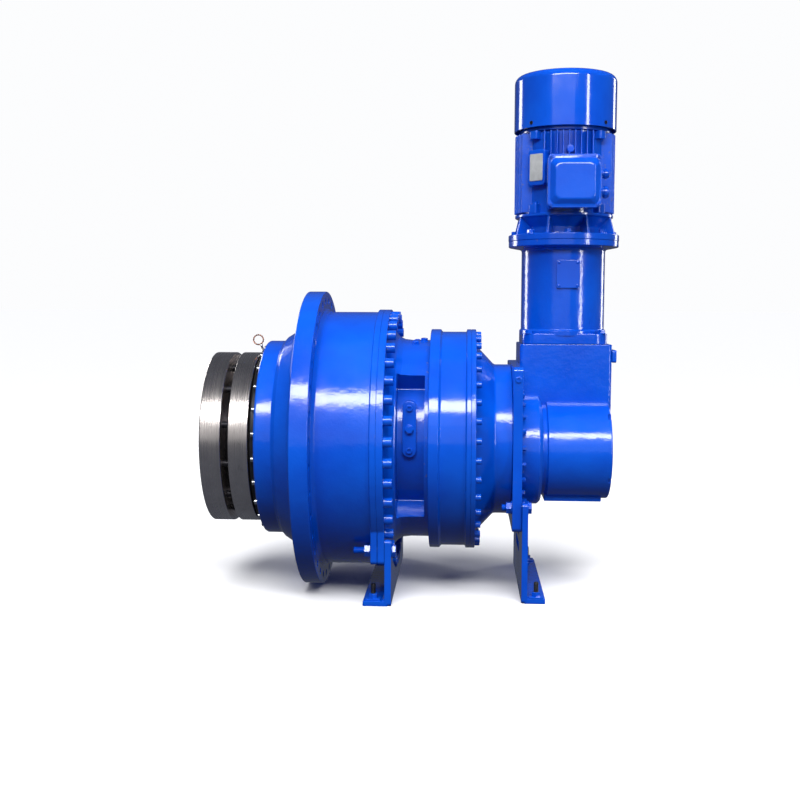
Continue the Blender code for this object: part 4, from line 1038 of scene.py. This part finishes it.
def bracket(name, half_y, top, x0, thickness, toe, clearance, centre_z, slots, node):
    """Welded angle: an upright plate with a round clearance, on a base plate."""
    outline = rectangle(-half_y, half_y, FLOOR + 0.0006, top, 0.010)
    item = solid(name, prism([outline], x0, x0 + thickness, frame_x(), 0.0015))
    near, far = x0 - 0.01, x0 + thickness + 0.01
    cut(item, turned_x([(near, 0.0), (near, clearance), (far, clearance), (far, 0.0)],
                       FINE, 0.0, centre_z))
    low, high = sorted((x0 + thickness / 2.0, toe))
    base = rectangle(low, high, -half_y + 0.0005, half_y - 0.0005, 0.003)
    join(item, prism([base], FLOOR, FLOOR + FOOT_T, frame_z(), 0.0015))
    for z0, z1 in slots:
        slot = rectangle(-0.090, 0.090, z0, z1, 0.5 * (z1 - z0) - 0.0005, 8)
        cut(item, prism([slot], near, far, frame_x()))
    side = 1.0 if toe > x0 else -1.0
    face = x0 + thickness if side > 0 else x0
    bm = bmesh.new()
    steps = 90
    rows = []
    for step in range(steps + 1):
        y = -half_y + 0.006 + (2.0 * half_y - 0.012) * step / steps
        wave = 0.0006 * sin(2.6 * step)
        corner = Vector((face, y, FLOOR + FOOT_T))
        ring = [(-side * 0.002, -0.002), (side * (0.0070 + wave), -0.002),
                (side * (0.0062 + wave), 0.0030), (side * 0.0035, 0.0062 + wave),
                (-side * 0.002, 0.0075 + wave)]
        rows.append([bm.verts.new(at(corner.x + a, corner.y, corner.z + b)) for a, b in ring])
    add_walls(bm, rows)
    bm.faces.new(rows[0])
    bm.faces.new(rows[-1])
    dress(solid(name + "_weld", bm), "machined", "blue_metal", sharp=70.0)
    dress(item, "machined", "blue_metal", node)


def through_bolt(node, y, z, ends, nut, head):
    """Bolt along X with a nut and washer at one end and its head at the other."""
    bm = bmesh.new()
    thread = []
    pitch = 0.0025
    count = int((nut[0] - ends[0]) / pitch)
    for step in range(count):
        start = ends[0] + 0.001 + step * pitch
        thread += [(ROD_R, start), (0.0096, start + 0.5 * pitch)]
    outline = [(0.0, ends[0]), (0.0094, ends[0])] + thread
    outline += [(0.0106, nut[0]), (0.0106, ends[1]), (0.0, ends[1])]
    place = frame_at((0.0, y, z))
    add_turned(bm, place, outline, 24)
    left = frame_at((nut[1], y, z), (-1, 0, 0))
    add_disc(bm, left, 0.0, 0.0030, 0.0200, 0.0010)
    add_hexagon(bm, left, 0.0031, nut[1] - nut[0], 0.0188, 0.002)
    right = frame_at((head[0], y, z))
    add_disc(bm, right, 0.0, 0.0028, 0.0200, 0.0010)
    add_hexagon(bm, right, 0.0029, head[1] - head[0], 0.0188, 0.002)
    painted(node + "_set", bm, node)


def anchor_studs():
    """Threaded rods, nuts and square washers on the bracket feet."""
    nuts, rods = bmesh.new(), bmesh.new()
    for x, y in ((-0.212, -0.300), (-0.212, 0.300), (0.278, -0.250), (0.278, 0.250)):
        place = frame_at((x, y, FLOOR + FOOT_T), (0, 0, 1))
        washer = rectangle(-0.0225, 0.0225, -0.0190, 0.0190, 0.002)
        add_prism(nuts, [washer], 0.0, 0.0050, place, 0.0010)
        add_hexagon(nuts, place, 0.0050, 0.0180, 0.0140, 0.0016, 0.4)
        thread = []
        for step in range(14):
            thread += [(0.0075, 0.018 + 0.002 * step), (0.0066, 0.019 + 0.002 * step)]
        outline = [(0.0, 0.004), (0.0074, 0.004)] + thread + [(0.0060, 0.048), (0.0, 0.048)]
        add_turned(rods, place, outline, 20)
    painted("anchor_nuts", nuts)
    dress(solid("anchor_rods", rods), "dark", "dark_steel")


def supports():
    front_x1 = FRONT_X0 + FRONT_T
    bracket("front_support", FRONT_HALF_Y, FRONT_TOP, FRONT_X0, FRONT_T, FRONT_TOE,
            FRONT_CLEARANCE, 0.0, [], "front_bracket")
    rear_x1 = REAR_X0 + REAR_T
    bracket("rear_support", REAR_HALF_Y, REAR_TOP, REAR_X0, REAR_T, REAR_TOE,
            REAR_CLEARANCE, CASE_Z, [(-0.300, -0.264), (-0.352, -0.320)], "rear_bracket")
    lug_x0 = JOINT_X0 - 0.002
    for side, label in ((-1, "near"), (1, "far")):
        through_bolt("front_bolt_" + label, side * FRONT_BOLT_Y, FRONT_BOLT_Z,
                     (-0.272, front_x1 + 0.006), (lug_x0 - 0.021, lug_x0 - GAP),
                     (front_x1 + GAP, front_x1 + 0.013))
        through_bolt("rear_bolt_" + label, side * REAR_BOLT_Y, REAR_BOLT_Z,
                     (0.172, rear_x1 + 0.006), (PLATE_X0 - 0.019, PLATE_X0 - GAP),
                     (rear_x1 + GAP, rear_x1 + 0.012))


# ---------------------------------------------------------------- inner pieces
INNER = {
    "steel": ("main_bearing_front", "main_bearing_rear", "carrier_bearing", "sun_bearing",
              "countershaft_bearing", "pinion_bearing", "motor_bearing", "input_carrier"),
    "gear": ("output_ring_gear", "output_planet_1", "output_planet_2", "output_planet_3",
             "output_sun", "input_planet_1", "input_planet_2", "input_planet_3",
             "input_sun_shaft", "spur_wheel", "countershaft", "bevel_wheel",
             "bevel_pinion_shaft", "rotor"),
    "dark": ("shaft_coupling", "fan"),
    "copper": ("stator",),
}


def finish_inner_nodes():
    for finish, names in INNER.items():
        for name in names:
            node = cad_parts[name]
            node.data.materials.clear()
            node.data.materials.append(FINISH[finish])


# ---------------------------------------------------------------- studio
def area_light(name, place, target, width, height, power, colour=(1.0, 1.0, 1.0)):
    data = bpy.data.lights.new(name, "AREA")
    data.shape = "RECTANGLE"
    data.size = width
    data.size_y = height
    data.energy = power
    data.color = colour
    lamp = put_in_scene(name, data)
    lamp.location = place
    lamp.rotation_euler = (Vector(target) - Vector(place)).to_track_quat("-Z", "Y").to_euler()


FLOOR_R = 400.0


def studio():
    area_light("front_strip", (0.0, -2.9, 2.75), (0.0, 0.0, 0.55), 3.4, 0.72, 125.0)
    area_light("front_glow", (-0.4, -4.6, 2.7), (0.0, 0.0, 0.5), 4.6, 1.4, 12.0)
    area_light("front_low", (-0.4, -5.2, 1.3), (0.0, 0.0, 0.6), 4.8, 1.5, 8.5)
    area_light("right_strip", (2.7, -2.1, 1.5), (0.3, 0.1, 0.9), 0.30, 2.4, 34.0)
    area_light("left_edge", (-2.7, 2.3, 1.3), (-0.1, 0.0, 0.6), 0.8, 2.4, 46.0)
    area_light("right_edge", (2.8, 2.3, 1.3), (0.3, 0.0, 0.7), 0.5, 2.4, 26.0)

    data = bpy.data.lights.new("sky_light", "SUN")
    data.energy = 3.7
    data.angle = radians(50.0)
    sky = put_in_scene("sky_light", data)
    sky.rotation_euler = (radians(18.0), 0.0, 0.0)
    sky.visible_glossy = False

    world = bpy.data.worlds.new("studio")
    bpy.context.scene.world = world
    world.use_nodes = True
    tree = world.node_tree
    room = tree.nodes["Background"]
    fill(tree, room, {"Color": (0.72, 0.80, 1.0), "Strength": 0.10})
    backdrop = add_node(tree, "Background", "Background", {"Color": (0.975, 0.98, 0.99)})
    seen = add_node(tree, "LightPath", "Is Camera Ray", {})
    choice = add_node(tree, "MixShader", "Shader", {
        "Fac": seen, 1: room.outputs["Background"], 2: backdrop})
    fill(tree, tree.nodes["World Output"], {"Surface": choice})

    bm = bmesh.new()
    slab = [(0.0, -0.0002), (FLOOR_R, -0.0002), (FLOOR_R, -0.05), (0.0, -0.05)]
    add_turned(bm, Matrix.Identity(4), slab, MEDIUM)
    floor = solid("studio_floor", bm)
    material, tree, shader = new_material("studio_floor")
    fill(tree, shader, {
        "Base Color": (0.86, 0.86, 0.87), "Roughness": 0.85, "Specular IOR Level": 0.1})
    floor.data.materials.append(material)
    floor.visible_glossy = False
    floor.visible_diffuse = False


CAMERA_PLACE = (0.1475, -3.541, 0.885)
CAMERA_YAW = -3.3            # degrees to the right of +Y
CAMERA_PITCH = 4.73          # degrees below the horizon
CAMERA_ROLL = 0.22
CAMERA_LENS = 49.5


def camera():
    data = bpy.data.cameras.new("camera")
    data.lens = CAMERA_LENS
    data.sensor_width = 36.0
    view = put_in_scene("camera", data)
    yaw, pitch = radians(CAMERA_YAW), radians(CAMERA_PITCH)
    level = cos(pitch)
    forward = Vector((sin(yaw) * level, cos(yaw) * level, -sin(pitch)))
    turn = forward.to_track_quat("-Z", "Y").to_matrix()
    turn = turn @ Matrix.Rotation(radians(CAMERA_ROLL), 3, "Z")
    view.matrix_world = Matrix.Translation(CAMERA_PLACE) @ turn.to_4x4()
    bpy.context.scene.camera = view


bpy.context.scene.view_settings.view_transform = "Standard"
output_housing()
seal_parts()
hub_eye()
shrink_disc()
hollow_shaft()
intermediate_housing()
bolt_ring("output_joint_bolt_set", 40, 0.393, JOINT_X1 + GAP, 0.0150, 0.0258,
          "output_joint_bolts", True)
input_ring()
cone_adapter()
bolt_ring("input_joint_bolt_set", 36, 0.334, 0.0925 + GAP, 0.0102, 0.0156,
          "input_joint_bolts", True)
square_plate()
bevel_case()
bolt_ring("case_bolt_set", 24, 0.193, PLATE_X1 + GAP, 0.0084, 0.0132, "case_bolts", False, CASE_Z,
          clear_of_box)
case_trim()
column()
end_shield()
motor_frame()
fan_cowl()
terminal_box()
supports()
anchor_studs()
finish_inner_nodes()
studio()
camera()
